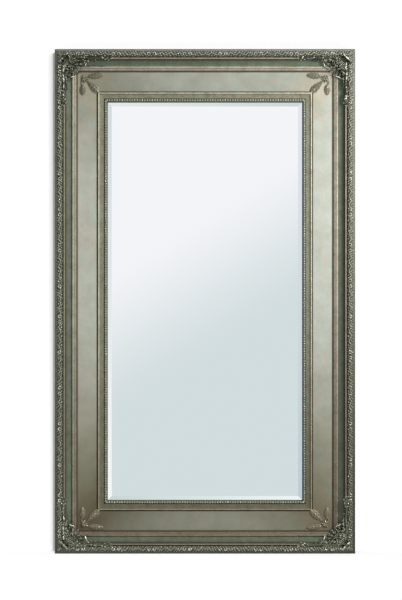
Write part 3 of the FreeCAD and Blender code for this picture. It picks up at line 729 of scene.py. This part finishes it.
# closed leaves, all of a kind at once: rings of a flattened oval carried along a bowed, arched path; the edge is
# scalloped into lobes, flutes run from the midrib out to each lobe, and the tip may turn up
def addLeaves(gathered, corner, starts, ends, halves, look, bow=0.0):
    s = Look(leafShape, **look)
    starts, ends = np.atleast_2d(starts).astype(float), np.atleast_2d(ends).astype(float)
    count, rings, around = len(starts), s.rings, s.around
    halves = np.broadcast_to(halves, (count,))[:, None, None]
    t = np.linspace(0, 1, rings)
    chord = ends - starts
    sideways = np.stack([-chord[:, 1], chord[:, 0], 0 * chord[:, 0]], -1) / np.hypot(chord[:, 0], chord[:, 1])[:, None]
    bowed = np.broadcast_to(bow, (count,))[:, None] * np.sin(math.pi * t)
    path = starts[:, None] + chord[:, None] * t[None, :, None] + sideways[:, None] * bowed[..., None]
    tip = np.clip((t - s.tipStart) / (1 - s.tipStart), 0, 1)
    path[..., 2] += s.arch * np.sin(math.pi * t ** 0.8) + s.tipCurl * tip ** 2
    across, upward = pathFrame(path)
    turn = np.linspace(0, 2 * math.pi, around, endpoint=False)
    lateral, body = np.cos(turn)[None, :], np.sin(turn)[None, :]
    aside, front = np.abs(lateral), np.clip(body, 0, 1)
    swell = np.sin(math.pi * t ** s.belly) ** s.ends
    swell[0], swell[-1] = 0, 0
    width = swell[:, None] * (1 - s.lobeDepth * wave(s.lobes * t)[:, None] * aside)
    ridge = 1 - wave(s.lobes * t[:, None] - s.fluteSlant * aside)
    groove = 1 - s.flute * (1 - ridge) * aside ** 0.6 - s.dish * (1 - aside ** 4)
    rib = s.rib * np.exp(-(lateral / s.ribWidth) ** 2) * front
    height = s.thick * swell[:, None] ** 0.7 * np.where(body > 0, front ** 0.8 * groove + rib, body * s.back)
    points = (path[:, :, None] + across[:, :, None] * (halves * width * lateral)[..., None]
              + upward[:, :, None] * (halves * height)[..., None])
    # crests for the rubbed leaf and its painted highlight: the front of each lobe, brighter to the tip, and the rim of
    # a dished leaf
    lit = s.lit + (1 - s.lit) * t[:, None] ** 1.5
    crest = front ** 1.5 * groove * (1 - s.veins + s.veins * ridge) * lit
    rimPlace, rimWidth, rimGain = s.rim
    crest = crest + rimGain * s.dish * np.exp(-((aside - rimPlace) / rimWidth) ** 2) * (body > 0)
    relief = np.clip(np.where(body > 0, s.low + s.gain * crest, 0.0) + rib * s.ribGain, 0, s.most)
    quads = copyQuads(gridQuads(rings, around, True)[:, ::-1], rings * around, count)
    gathered.add(placeAtCorner(corner, points), quads, np.broadcast_to(relief, (count, rings, around)))


chance = np.random.default_rng(11)
# leaflets: what angle, reach and width have at the root and lose to the tip, how far chance alters them, their bow
leafletSpread = Look(angle=(1.15, 0.45), reach=(1.15, 0.4), half=(1.1, 0.3), chance=0.2, lift=1.5,
                     liftChance=(-1.2, 1.6), bow=0.12)


# pairs of leaflets on a stalk: each starts on the line from root to tip and leaves it at an angle, shorter nearer the
# tip, none quite like the next
def addLeaflets(gathered, corner, root, tip, shares, length, angle, half, look):
    s = leafletSpread
    root, tip = np.array(root, float), np.array(tip, float)
    shares = np.repeat(np.array(shares, float), 2)
    count = len(shares)
    hands = np.tile([1.0, -1.0], count // 2)
    angles, reaches, halves = [s[name][0] - s[name][1] * shares for name in ("angle", "reach", "half")]
    angles = angles + chance.uniform(-s.chance, s.chance, count)
    heading = math.atan2(tip[1] - root[1], tip[0] - root[0]) + hands * math.radians(angle) * angles
    reach = length * (reaches + chance.uniform(-s.chance, s.chance, count))
    starts = root + (tip - root) * shares[:, None]
    lift = s.lift + chance.uniform(*s.liftChance, count)
    ends = starts + np.stack([np.cos(heading) * reach, np.sin(heading) * reach, lift], -1)
    addLeaves(gathered, corner, starts, ends, half * halves, look, bow=-hands * length * s.bow)


# round rod along a path of points, its radius given at each point, closed to a point at both ends; its top half
# carries the crest relief, rubbed bare by the finish as a painted highlight
def addRod(gathered, corner, path, radius, around=10, crest=0.64, low=0.12):
    across, upward = pathFrame(path)
    radius = np.array(radius, float)
    radius[0], radius[-1] = 0, 0
    turn = np.linspace(0, 2 * math.pi, around, endpoint=False)
    points = (path[:, None, :] + across[:, None, :] * (radius[:, None] * np.cos(turn))[..., None]
              + upward[:, None, :] * (radius[:, None] * np.sin(turn))[..., None])
    relief = np.broadcast_to(low + crest * np.clip(np.sin(turn), 0, 1), (len(path), around))
    gathered.add(placeAtCorner(corner, points), gridQuads(len(path), around, True)[:, ::-1], relief)


# radius along a rod that is thin at both ends and gains evenly towards its middle
def tapered(path, thin, gain):
    return thin + gain * (1 - np.abs(np.linspace(-1, 1, len(path))))


# path in the plane whose heading turns faster and faster towards its ends, so it curls in: the heading is summed up
def scrollPath(centre, heading, length, turns, hold, rise, count=61, hands=(1, 1)):
    t = np.linspace(-1, 1, count)
    spread = np.clip((np.abs(t) - hold) / (1 - hold), 0, 1) ** 1.6
    angle = heading + 2 * math.pi * turns * spread * np.where(t < 0, -hands[0], hands[1])
    step = length / (count - 1)
    x, y = np.cumsum(np.cos(angle)) * step, np.cumsum(np.sin(angle)) * step
    middle = count // 2
    return np.stack([x - x[middle] + centre[0], y - y[middle] + centre[1], np.full(count, rise)], -1)


# corner ornament: places are the run along one side, the way across from its outer edge, and the rise
acanthusShape = Look(
    root=37.0, rootBack=5.0, fanEdge=170.0,
    # insets and rises of the outer moulding's main edges, under the tips
    bed=((0, 30, 40, 52, 64, 73, 85, 86), (58, 60, 58, 48, 43, 45, 42, 38)),
    # lower fan in the cove, its tips turned up over the step; upper fan, shorter, between its leaves:
    # angles, share of the room to the edge, half width, rise of the root, lift of the tips
    fans=(((6, 19, 32, 45, 58, 71, 84), 1.0, 4.2, 55.0, 3.0), ((13, 29, 45, 61, 77), 0.58, 3.8, 62.0, 9.0)),
    # leaflets on the fans and on the stalks: shares of the way, length, angle, half width
    fanLeaflets=((0.4, 0.58, 0.76, 0.94), 20.0, 36, 2.8),
    stalkLeaflets=((0.1, 0.22, 0.34, 0.46, 0.58, 0.7, 0.82, 0.94), 12.0, 46, 2.0),
    # leafy stalks on the lip and the fillet beside the fan
    stalks=(((42, 25, 61), (122, 27.5, 61)), ((54, 41, 58), (140, 42, 54))), stalkHalf=3.6, stalkBow=2.0,
    # leaf at each end of the fan, pale with a painted highlight, on the rail and on the stile: start, end, half width
    spur=(((128, 45, 56), (114, 72, 53), 3.4), ((117, 50, 55), (103, 78, 52), 3.4)), spurBow=2.0,
    # waving rod along the fillet; wave: depth and number; radius: at the start and what it loses
    armLine=34.5, armStart=52.0, armEnd=204.0, armGap=10.0, armWave=(1.4, 2.2), armRise=61.5,
    armRadius=(5.4, 1.2), armPoints=70,
    # how bright the crests of the two arms are rubbed, a painted highlight set for each corner:
    # along the rail, along the stile
    armCrest={"top_left": (0.76, 0.88), "top_right": (0.76, 0.87), "bottom_left": (0.8, 0.84),
              "bottom_right": (0.64, 0.62)},
    # curl on its way: length, turns, share that is held straight, rise; radius: at the ends and what the middle gains
    curlPlace=(146, 38), curlHeading=0.2, curl=(54, 0.85, 0.05, 60.5), curlRadius=(1.4, 1.6),
    # bud at its end: how far each leaf leans aside and lies back; first and last of each leaf
    budLean=(-2, -1, 0, 1, 2, -1.5, 1.5), budBack=(8, 2, 0, 2, 8, 18, 18), budEnds=(-14, 20), budFork=1.6,
    budSpread=(1.2, 5.6), budRise=(61.0, 65.0), budHalf=2.5,
    # scroll across the mitre over the root of the fan: length, turns, share that is held straight; its rubbed crest is
    # a painted highlight
    scrollPlace=(34.5, 34.5), scroll=(78.0, 0.8, 0.42), scrollDrop=4.6, scrollRadius=(2.4, 2.8),
    scrollAround=14, scrollCrest=0.84, sharp=75,
)
fanLeaf = Look(lobes=4, belly=1.1, arch=3.0, tipCurl=3.5, rings=25, around=14, thick=0.9, lit=0.4)
stalkLeaf = Look(fanLeaf, lobes=7, arch=2.0)
leaflet = Look(lobes=1, lobeDepth=0.1, flute=0.2, arch=2.0, tipCurl=3.0, thick=1.1, rings=7, around=8,
               belly=1.15, lit=0.8, veins=0.35)
petal = Look(leaflet, rings=13, around=10)
spurLeaf = Look(petal, lit=1.0, veins=0.1, thick=1.3)
budLeaf = Look(petal, tipCurl=2.0, lobes=2)


# tips of the fan lie on a line across the corner: reach from the root = free room / (cosine + sine);
# their rise is that of the moulding at the tip, straight between its main edges, and the lift
def fanTip(angle, share, lift):
    s = acanthusShape
    cosine, sine = math.cos(math.radians(angle)), math.sin(math.radians(angle))
    reach = share * (s.fanEdge - 2 * s.root) / (cosine + sine)
    run, across = s.root + reach * cosine, s.root + reach * sine
    return run, across, float(np.interp(min(run, across), *s.bed)) + lift


# two fans about the mitre, then the same arm along either side, with run and across changed round for the second
def makeAcanthus():
    s = acanthusShape
    for corner, side in cornerSides.items():
        gathered = Gathered()
        for angles, share, half, rise, lift in s.fans:
            start = (s.root - s.rootBack, s.root - s.rootBack, rise)
            for angle in angles:
                end = fanTip(angle, share, lift)
                addLeaves(gathered, corner, start, end, half, fanLeaf)
                addLeaflets(gathered, corner, start, end, *s.fanLeaflets, leaflet)
        for hand, order in ((1, [0, 1, 2]), (-1, [1, 0, 2])):
            onStile = (hand == -1) == (side in ("bottom", "top"))
            for stalk in s.stalks:
                first, last = np.array(stalk)[:, order]
                addLeaves(gathered, corner, first, last, s.stalkHalf, stalkLeaf, bow=s.stalkBow * hand)
                addLeaflets(gathered, corner, first, last, *s.stalkLeaflets, leaflet)
            *spur, spurHalf = s.spur[onStile]
            addLeaves(gathered, corner, *np.array(spur)[:, order], spurHalf, spurLeaf, bow=s.spurBow * hand)
            t = np.linspace(0, 1, s.armPoints)
            depth, waves = s.armWave
            rod = np.stack([s.armStart + (s.armEnd - s.armGap - s.armStart) * t,
                            s.armLine + depth * np.sin(2 * math.pi * waves * t), s.armRise + 0 * t], -1)
            thick, loss = s.armRadius
            addRod(gathered, corner, rod[:, order], thick - loss * t, crest=s.armCrest[corner][onStile])
            heading = s.curlHeading if hand == 1 else math.pi / 2 - s.curlHeading
            curl = scrollPath(s.curlPlace[::hand], heading, *s.curl, hands=(hand, hand))
            addRod(gathered, corner, curl, tapered(curl, *s.curlRadius))
            # bud: one long leaf and pairs of shorter ones that fork from it
            lean, back = np.array(s.budLean), np.array(s.budBack)
            (tail, reach), (narrow, wide), (low, high) = s.budEnds, s.budSpread, s.budRise
            budStart = np.stack([s.armEnd + tail - back, s.armLine + lean * narrow, low + 0 * lean], -1)
            budEnd = np.stack([s.armEnd + reach - s.budFork * back, s.armLine + lean * wide, high - np.abs(lean)], -1)
            addLeaves(gathered, corner, budStart[:, order], budEnd[:, order], s.budHalf, budLeaf)
        scroll = scrollPath(s.scrollPlace, -math.pi / 4, *s.scroll, ornamentCrest - s.scrollDrop)
        addRod(gathered, corner, scroll, tapered(scroll, *s.scrollRadius), s.scrollAround, s.scrollCrest)
        makePiece("acanthus_" + corner, gathered, [leafFinish["acanthus"]], s.sharp,
                  "corner_acanthus_" + corner)


sprayShape = Look(
    root=(110.0, 108.0), lift=1.0,
    # leaf along the rail, leaf into the corner of the glass, leaf on a bent stalk along the stile:
    # start, end, half width, where its belly lies, bow of its stalk
    leaves=(((14, -5), (74, -11), 12.0, 1.05, 0.0), ((9, 9), (59, 57), 14.0, 1.7, 0.0),
            ((-4, 24), (-5, 66), 11.5, 0.95, 7.0)),
    stalkReach=1.25, stalkRadius=2.6, stalkPoints=24,
    # calyx of small leaves round the knot: the way each points and how far it reaches
    calyxTurns=(-20, 15, 75, 110, 160, 225, 290), calyxReach=(18, 20, 20, 18, 11, 12, 11), calyxBack=2,
    calyxHalf=3.6, berries=((0, 0, 3), (7, -3, 2), (-3, 7, 2), (5, 6, 2.5)), berryHalf=3.4, sharp=75,
)
sprayLeaf = Look(lobes=5, thick=0.5, lobeDepth=0.14, flute=0.3, veins=0.55, rib=0.3, dish=0.3, lit=0.8,
                 ends=0.55, rings=41, around=24)
calyxLeaf = Look(petal, lit=0.5)
berryLeaf = Look(petal, thick=1.0, lobes=1, arch=0, tipCurl=0)


# spray drawn with its first axis along the level rail; on the two corners that run upright the axes change places
def makeSprays():
    s = sprayShape
    root = np.array([*s.root, panelRise + s.lift])
    t = np.linspace(0, 1, s.stalkPoints)[:, None]
    turns = np.radians(s.calyxTurns)
    ways = np.stack([np.cos(turns), np.sin(turns), 0 * turns], -1)
    calyxStart, calyxEnd = root - ways * s.calyxBack, root + ways * np.array(s.calyxReach)[:, None]
    berries, berrySide = root + np.array(s.berries), np.array([s.berryHalf, 0, 0])
    for corner, side in cornerSides.items():
        gathered = Gathered()
        hand, order = (1, [0, 1, 2]) if side in ("bottom", "top") else (-1, [1, 0, 2])
        for start, end, half, belly, _ in s.leaves:
            first, last = (root + [*start, 0])[order], (root + [*end, 0])[order]
            addLeaves(gathered, corner, first, last, half, Look(sprayLeaf, belly=belly))
        for start, *_, bow in s.leaves:
            stalk = root + np.array([*start, 0.0]) * s.stalkReach * t + np.array([-bow, 0, 0]) * np.sin(math.pi * t)
            addRod(gathered, corner, stalk[:, order], np.full(s.stalkPoints, s.stalkRadius))
        addLeaves(gathered, corner, calyxStart[:, order], calyxEnd[:, order], s.calyxHalf, calyxLeaf, bow=hand)
        first, last = (berries - berrySide)[:, order], (berries + berrySide)[:, order]
        addLeaves(gathered, corner, first, last, s.berryHalf, berryLeaf)
        makePiece("leafSpray_" + corner, gathered, [leafFinish["spray"]], s.sharp,
                  "leaf_spray_" + corner)


makeAcanthus()
makeSprays()
print("corners: acanthus and leaf sprays made")

# panel boards keep their solids: metal leaf on the face, laid in squares with lapped edges, bare timber behind
panelLook = Look(
    leaf=paint(165, 167, 157), wash=paint(64, 50, 38), bole=paint(140, 118, 96), washShare=0.6, rubShare=0.2,
    gloss=0.42, cloud=13.0, cloudShare=0.42, mottle=0.0, rubBreak=1.6, metal=0.27, bump=(0.12, 0.0006), faceDepth=1.6,
    square=84.0, squareTone=0.05, waver=9.0, waverNoise=(16.0, 3.0), lapWidth=0.022, lapDepth=0.12,
    lapHeight=0.4, edgeWash=(0.0, 5.0, 0.0, 0.62),
    # tints, and the spans they fade over: from and to, in metres or in millimetres from the mitre, then the two shares
    warm=(1.10, 0.97, 0.88, 1), warmMitre=(20.0, 150.0, 0.8, 0.0),
    level=(0.78, 0.79, 0.77, 1), levelAside=(0.0, 0.4, 1.0, 0.6),
    paler=(1.25, 1.25, 1.25, 1), palerAside=(-0.4, 0.4, 0.45, 0.0), palerHeight=(0.3, 0.9),
    aged=(0.52, 0.48, 0.37, 1), agedHeight=(0.28, 0.95, 0.8, 0.0), agedLevel=0.76,
    stain=(0.50, 0.465, 0.38, 1), stainMitre=(0.0, 420.0, 1.3, 0.0), stainShare=(0.62, 0.38, 0.21),
    dirt=(0.74, 0.72, 0.68, 1), dirtHeight=(0.2, 0.8, 1.0, 0.0),
    streak=(0.80, 0.80, 0.78, 1), streakSize=(55.0, 2.6), streakNoise=(1.0, 3.0, 0.6), streakSpan=(0.3, 0.7, 0.0, 0.34),
)


# lap lines: a thin dark line where the run along the side passes each leaf square, wavering with noise; then one tint
# after another, each by its own share
def panelMaterial():
    p = panelLook
    material, net, shader = newMaterial("silverLeafPanel")
    distance = useGroup(net, "frameDistance")
    inset, run, upright, mitre = [distance[name] for name in ("Inset", "Run", "Upright", "Mitre")]
    where = net.where()
    axes = net.axes(where)
    waver = net.times(net.less(net.noise(where, *p.waverNoise), 0.5), p.waver)
    square = net.over(net.plus(run, waver), p.square)
    lap = net.span(net.size(net.less(net.math("FRACT", square), 0.5)), 0.0, p.lapWidth, 1.0, 0.0)
    number = net.math("FLOOR", square)
    shade = net.node("ShaderNodeTexWhiteNoise", {"noise_dimensions": "1D"}, W=number).outputs["Value"]
    # wash and painted shade gather along both edges of the board, beside the mouldings
    edge = net.math("MINIMUM", net.less(inset, panelStart), net.less(sightStart, inset))
    low = net.span(edge, *p.edgeWash, "SMOOTHSTEP")
    relief = net.less(net.plus(low, net.times(shade, p.squareTone)), net.times(lap, p.lapDepth))
    # warm bole shows through towards the mitres; painted shade: the leaf on the level rails is a little duller, less so
    # towards the right
    nearMitre = net.span(mitre, *p.warmMitre, "SMOOTHSTEP")
    level = net.times(net.span(upright, 0.0, 1.0, 1.0, 0.0), net.span(axes["X"], *p.levelAside))
    # painted light: the left stile is a little paler than the right, above its foot
    paler = net.times(upright, net.span(axes["X"], *p.palerAside))
    paler = net.times(paler, net.span(axes["Z"], *p.palerHeight))
    # the foot is darker and browner, partly age and partly painted shade, a little less so on the rail
    aged = net.span(axes["Z"], *p.agedHeight, "SMOOTHSTEP")
    aged = net.times(aged, net.span(upright, 0.0, 1.0, p.agedLevel, 1.0))
    # painted shade gathers towards the mitres: most at the lower left, hardly any at the upper right, where the light
    # comes from
    whole, byAside, byHeight = p.stainShare
    corner = net.less(net.less(whole, net.times(axes["X"], byAside)), net.times(axes["Z"], byHeight))
    stain = net.times(corner, net.span(mitre, *p.stainMitre, "SMOOTHSTEP"), clamp=True)
    # darker in the two corners at the foot
    dirt = net.times(nearMitre, net.span(axes["Z"], *p.dirtHeight))
    # brush streaks: noise stretched along the run of the board
    long, wide = p.streakSize
    along = net.node("ShaderNodeCombineXYZ", X=net.over(run, long), Y=net.over(inset, wide), Z=upright)
    streak = net.span(net.noise(along.outputs[0], *p.streakNoise), *p.streakSpan)
    tone = p.leaf
    for share, tint in ((nearMitre, p.warm), (level, p.level), (paler, p.paler), (aged, p.aged), (stain, p.stain),
                        (dirt, p.dirt), (streak, p.streak)):
        tone = net.tint(share, tone, tint)
    leaf = agedLeaf(net, p, tone, p.bole, relief)
    onRail, onStile = timberLook.stretch, timberLook.stretch[::-1]
    grain = net.node("ShaderNodeMix", {"data_type": "VECTOR"}, i0=upright, i4=onRail, i5=onStile)
    wood = timber(net, timberLook, grain.outputs[1])
    rear = net.above(axes["Y"], backFace - (panelRise - p.faceDepth) * mm)
    finish(net, shader, net.mix(rear, leaf["Colour"], wood["Colour"]),
           net.between(rear, leaf["Roughness"], wood["Roughness"]), net.times(net.less(1.0, rear), p.metal),
           net.less(leaf["Height"], net.times(lap, p.lapHeight)), p.bump)
    return material


glassLook = Look(silver=(0.975, 0.975, 0.975, 1), old=(0.55, 0.58, 0.56, 1), oldFrom=-4, oldTo=3, oldRough=0.3,
                 haze=(30.0, 4.0), hazeSpan=(0.4, 0.7))


# silvered plate: almost perfect metal mirror, and a hazy edge of old silvering
def mirrorMaterial():
    g = glassLook
    material, net, shader = newMaterial("silveredGlass")
    inset = useGroup(net, "frameDistance")["Inset"]
    haze = net.span(net.noise(net.where(), *g.haze), *g.hazeSpan)
    old = net.times(net.span(inset, sightEnd + g.oldFrom, sightEnd + g.oldTo, 1.0, 0.0), haze)
    net.feed(shader, Base_Color=net.mix(old, g.silver, g.old), Roughness=net.times(old, g.oldRough), Metallic=1.0)
    return material


steelLook = Look(dark=paint(150, 152, 154), pale=paint(176, 178, 178), rim=paint(128, 130, 134), spangle=260.0,
                 cloud=(60.0, 4.0), cloudSpan=(0.35, 0.65), rimSpan=(0.2, 0.8, 0.0, 0.3),
                 roughSpan=(0.3, 0.7, 0.28, 0.45), bump=(0.08, 0.0004))


# plated steel: cool grey in clouds, with the cells of a zinc spangle
def steelMaterial():
    s = steelLook
    material, net, shader = newMaterial("zincSteel")
    where = net.where()
    spangle = net.node("ShaderNodeTexVoronoi", {"feature": "F1"}, Vector=where, Scale=s.spangle).outputs["Distance"]
    cloud = net.noise(where, *s.cloud)
    tone = net.mix(net.span(cloud, *s.cloudSpan), s.dark, s.pale)
    tone = net.mix(net.span(spangle, *s.rimSpan), tone, s.rim)
    finish(net, shader, tone, net.span(cloud, *s.roughSpan), 1.0, spangle, s.bump)
    return material


rubberLook = Look(black=paint(34, 33, 32), dusty=paint(92, 88, 82), dust=(90.0, 5.0), dustSpan=(0.45, 0.75, 0.0, 0.35),
                  roughSpan=(0.3, 0.7, 0.62, 0.85), bump=(0.2, 0.0005))


# black rubber: matt, a little dusty in patches
def rubberMaterial():
    r = rubberLook
    material, net, shader = newMaterial("blackRubber")
    dust = net.noise(net.where(), *r.dust)
    tone = net.mix(net.span(dust, *r.dustSpan), r.black, r.dusty)
    finish(net, shader, tone, net.span(dust, *r.roughSpan), 0.0, dust, r.bump)
    return material


panelLeaf, mirrorSilver, zincSteel, blackRubber = panelMaterial(), mirrorMaterial(), steelMaterial(), rubberMaterial()
# how the names of the nodes begin, and their finish
solidFinish = [("panel_board_", panelLeaf), ("mirror_glass", mirrorSilver), ("backing_board", hardboard),
               ("glue_blocks", bareWood), ("mitre_dowels", bareWood), ("panel_biscuits", bareWood),
               ("setting_blocks", blackRubber), ("wall_bumpers", blackRubber), ("corner_plate_", zincSteel),
               ("hanger_", zincSteel), ("backing_screws", zincSteel)]
for nodeName, solid in nodes.items():
    for start, material in solidFinish:
        if nodeName.startswith(start):
            solid.data.materials.clear()
            solid.data.materials.append(material)
print("solids: panel, glass and the fittings behind them finished")

# stage: pale floor, a wall that shows only from the front, soft lamps, and the camera straight in front
stageLook = Look(reach=4.0, wallGap=0.006, floorShade=0.5, wallShade=0.9, pale=(0.86, 0.86, 0.86, 1), rough=0.9)
cameraLook = Look(distance=6.0, pixels=(402, 600), photoHeight=504.5, photoMiddle=(204.95, 301.28), sensor=36.0)


# flat sheet from its four corners
def sheet(name, corners, material):
    mesh = bpy.data.meshes.new(name)
    mesh.from_pydata(corners, [], [(0, 1, 2, 3)])
    mesh.materials.append(material)
    made = bpy.data.objects.new(name, mesh)
    bpy.context.scene.collection.objects.link(made)
    return made


# white to the camera less the object's shadow: a share of it is lit by the lamps, the rest glows at strength 1
def stageMaterial(name, shade, backSeeThrough):
    material, net, shader = newMaterial(name)
    net.feed(shader, Base_Color=stageLook.pale, Roughness=stageLook.rough, Specular_IOR_Level=0.0)
    ray = net.node("ShaderNodeLightPath")
    glow = net.node("ShaderNodeEmission", Color=(1, 1, 1, 1), Strength=1.0)
    seen = net.node("ShaderNodeMixShader", i0=shade, i1=glow.outputs[0], i2=shader.outputs[0])
    whole = net.node("ShaderNodeMixShader", i0=ray.outputs["Is Camera Ray"], i1=shader.outputs[0], i2=seen.outputs[0])
    if backSeeThrough:
        behind = net.node("ShaderNodeNewGeometry").outputs["Backfacing"]
        clear = net.node("ShaderNodeBsdfTransparent")
        whole = net.node("ShaderNodeMixShader", i0=behind, i1=whole.outputs[0], i2=clear.outputs[0])
    net.feed(net.tree.nodes["Material Output"], Surface=whole.outputs[0])
    return material


worldLook = Look(
    low=paint(212, 223, 225), high=paint(246, 247, 251), slant=0.62, skySpan=(-0.045, 0.065),
    flatAside=0.15, flatUp=0.21,  # the flat of the glass looks no further aside and up than this
    # tones in the bevel: of the two sides from below to above, of the two ends from left to right
    upward=(-0.13, 0.13), rightward=(-0.06, 0.06),
    left=(paint(248, 250, 251), paint(210, 221, 225)), right=(paint(190, 205, 213), paint(230, 233, 242)),
    bottom=(paint(200, 216, 212), paint(240, 248, 246)), top=(paint(232, 236, 234), paint(206, 218, 219)),
    fillSpan=(-0.4, 0.6), fill=((0.13, 0.13, 0.12, 1), (0.28, 0.29, 0.30, 1)),
)


# world: white to the camera; to mirrors a slanting change from white above to pale blue-grey below, with other tones
# further out for the bevel; plain fill elsewhere
def makeWorld():
    w = worldLook
    world = bpy.data.worlds.new("studio")
    bpy.context.scene.world = world
    world.use_nodes = True
    net = NodeNet(world.node_tree)
    world.node_tree.nodes.clear()
    ray = net.node("ShaderNodeLightPath").outputs
    way = net.axes(net.node("ShaderNodeTexCoord").outputs["Generated"])
    slant = net.less(way["Z"], net.times(way["X"], w.slant))
    sky = net.mix(net.span(slant, *w.skySpan, shape="SMOOTHSTEP"), w.low, w.high)
    # the bevel turns its view outwards, past the part of the room that the flat of the glass shows
    aside = net.above(net.size(way["X"]), w.flatAside)
    beyond = net.math("MAXIMUM", aside, net.above(net.size(way["Z"]), w.flatUp))
    upward, rightward = net.span(way["Z"], *w.upward), net.span(way["X"], *w.rightward)
    left, right = [net.mix(upward, *w[name]) for name in ("left", "right")]
    bottom, top = [net.mix(rightward, *w[name]) for name in ("bottom", "top")]
    sides, ends = net.mix(net.above(way["X"], 0.0), left, right), net.mix(net.above(way["Z"], 0.0), bottom, top)
    sky = net.mix(beyond, sky, net.mix(aside, ends, sides))
    fill = net.mix(net.span(way["Z"], *w.fillSpan), *w.fill)
    shown = net.mix(ray["Is Camera Ray"], net.mix(ray["Is Glossy Ray"], fill, sky), (1, 1, 1, 1))
    back = net.node("ShaderNodeBackground", Color=shown, Strength=1.0)
    net.node("ShaderNodeOutputWorld", Surface=back.outputs[0])


# lamp that faces a point: its -Z axis is turned along the line to it; a sun's size is its angle in degrees
def lamp(name, kind, spot, aim, size, power, colour):
    light = bpy.data.lights.new(name, kind)
    if kind == "SUN":
        light.angle = math.radians(size)
    else:
        light.shape = "RECTANGLE"
        light.size, light.size_y = size
    light.energy, light.color = power, colour
    made = bpy.data.objects.new(name, light)
    bpy.context.scene.collection.objects.link(made)
    made.location = spot
    made.rotation_euler = (Vector(aim) - Vector(spot)).to_track_quat("-Z", "Y").to_euler()
    return made


white, coolWhite = (1, 1, 1), (0.96, 1.0, 1.07)
# kind, place, aim, size, power, colour and what each lamp lights
lampLook = {
    "key": ("SUN", (0.72, -0.52, 0.60), (0, 0, 0), 5.0, 2.65, white, "mirror"),
    "window": ("AREA", (1.25, -1.0, 1.62), (0.3, 0, 1.42), (0.4, 0.7), 36.0, coolWhite, "mirror"),
    "rear": ("AREA", (-1.0, 3.4, 2.4), (0, 0, 1.0), (2.0, 2.0), 90.0, white, "mirror"),
    "wallSun": ("SUN", (0.20, -1.0, 0.12), (0, 0, 0), 3.0, 1.5, white, "wall"),
    "wallSoft": ("SUN", (0.40, -1.0, 0.14), (0, 0, 0), 24.0, 1.6, white, "wall"),
    "floorSun": ("SUN", (0.0, -0.6, 1.0), (0, 0, 0), 40.0, 3.2, white, "floor"),
}


# floor and wall as sheets of twice the reach; each lamp lights only what it is meant for, and mirrors show only the key
def makeStage():
    reach = stageLook.reach
    wallPlace = cadBox[1].y + stageLook.wallGap
    mirrorPieces = [piece for piece in bpy.context.scene.objects if piece.type == "MESH"]
    square = ((-reach, -reach), (reach, -reach), (reach, reach), (-reach, reach))
    floor = sheet("floor", [(x, y, 0) for x, y in square], stageMaterial("paleFloor", stageLook.floorShade, False))
    wall = sheet("wall", [(x, wallPlace, max(z, 0)) for x, z in square],
                 stageMaterial("paleWall", stageLook.wallShade, True))
    floor.visible_glossy = False
    for flag in ("visible_diffuse", "visible_glossy", "visible_transmission", "visible_shadow"):
        setattr(wall, flag, False)
    for target, pieces in (("mirror", mirrorPieces), ("wall", [wall]), ("floor", [floor])):
        group = bpy.data.collections.new("lit_" + target)
        for piece in pieces:
            group.objects.link(piece)
    for name, (*given, target) in lampLook.items():
        made = lamp(name, *given)
        made.visible_glossy = name == "key"
        made.light_linking.receiver_collection = bpy.data.collections["lit_" + target]


# camera straight in front: its distance and lens put the frame's height on as many pixels as in the photograph
def makeCamera():
    c = cameraLook
    scale = frameHeight * mm / c.photoHeight  # metres a pixel covers at the lip of the frame
    lip = backFace - outerShape.sideRise * mm
    camera = bpy.data.cameras.new("camera")
    camera.sensor_width = c.sensor
    camera.lens = c.sensor * c.distance / (scale * c.pixels[1])
    made = bpy.data.objects.new("camera", camera)
    bpy.context.scene.collection.objects.link(made)
    aside = (c.pixels[0] / 2 - c.photoMiddle[0]) * scale
    raised = (c.photoMiddle[1] - c.pixels[1] / 2) * scale
    made.location = (aside, lip - c.distance, frameHeight * mm / 2 + raised)
    made.rotation_euler = (math.pi / 2, 0, 0)
    bpy.context.scene.camera = made


makeWorld()
makeStage()
makeCamera()
bpy.context.scene.view_settings.view_transform = "Standard"
print("stage: world, floor, lamps and camera set")
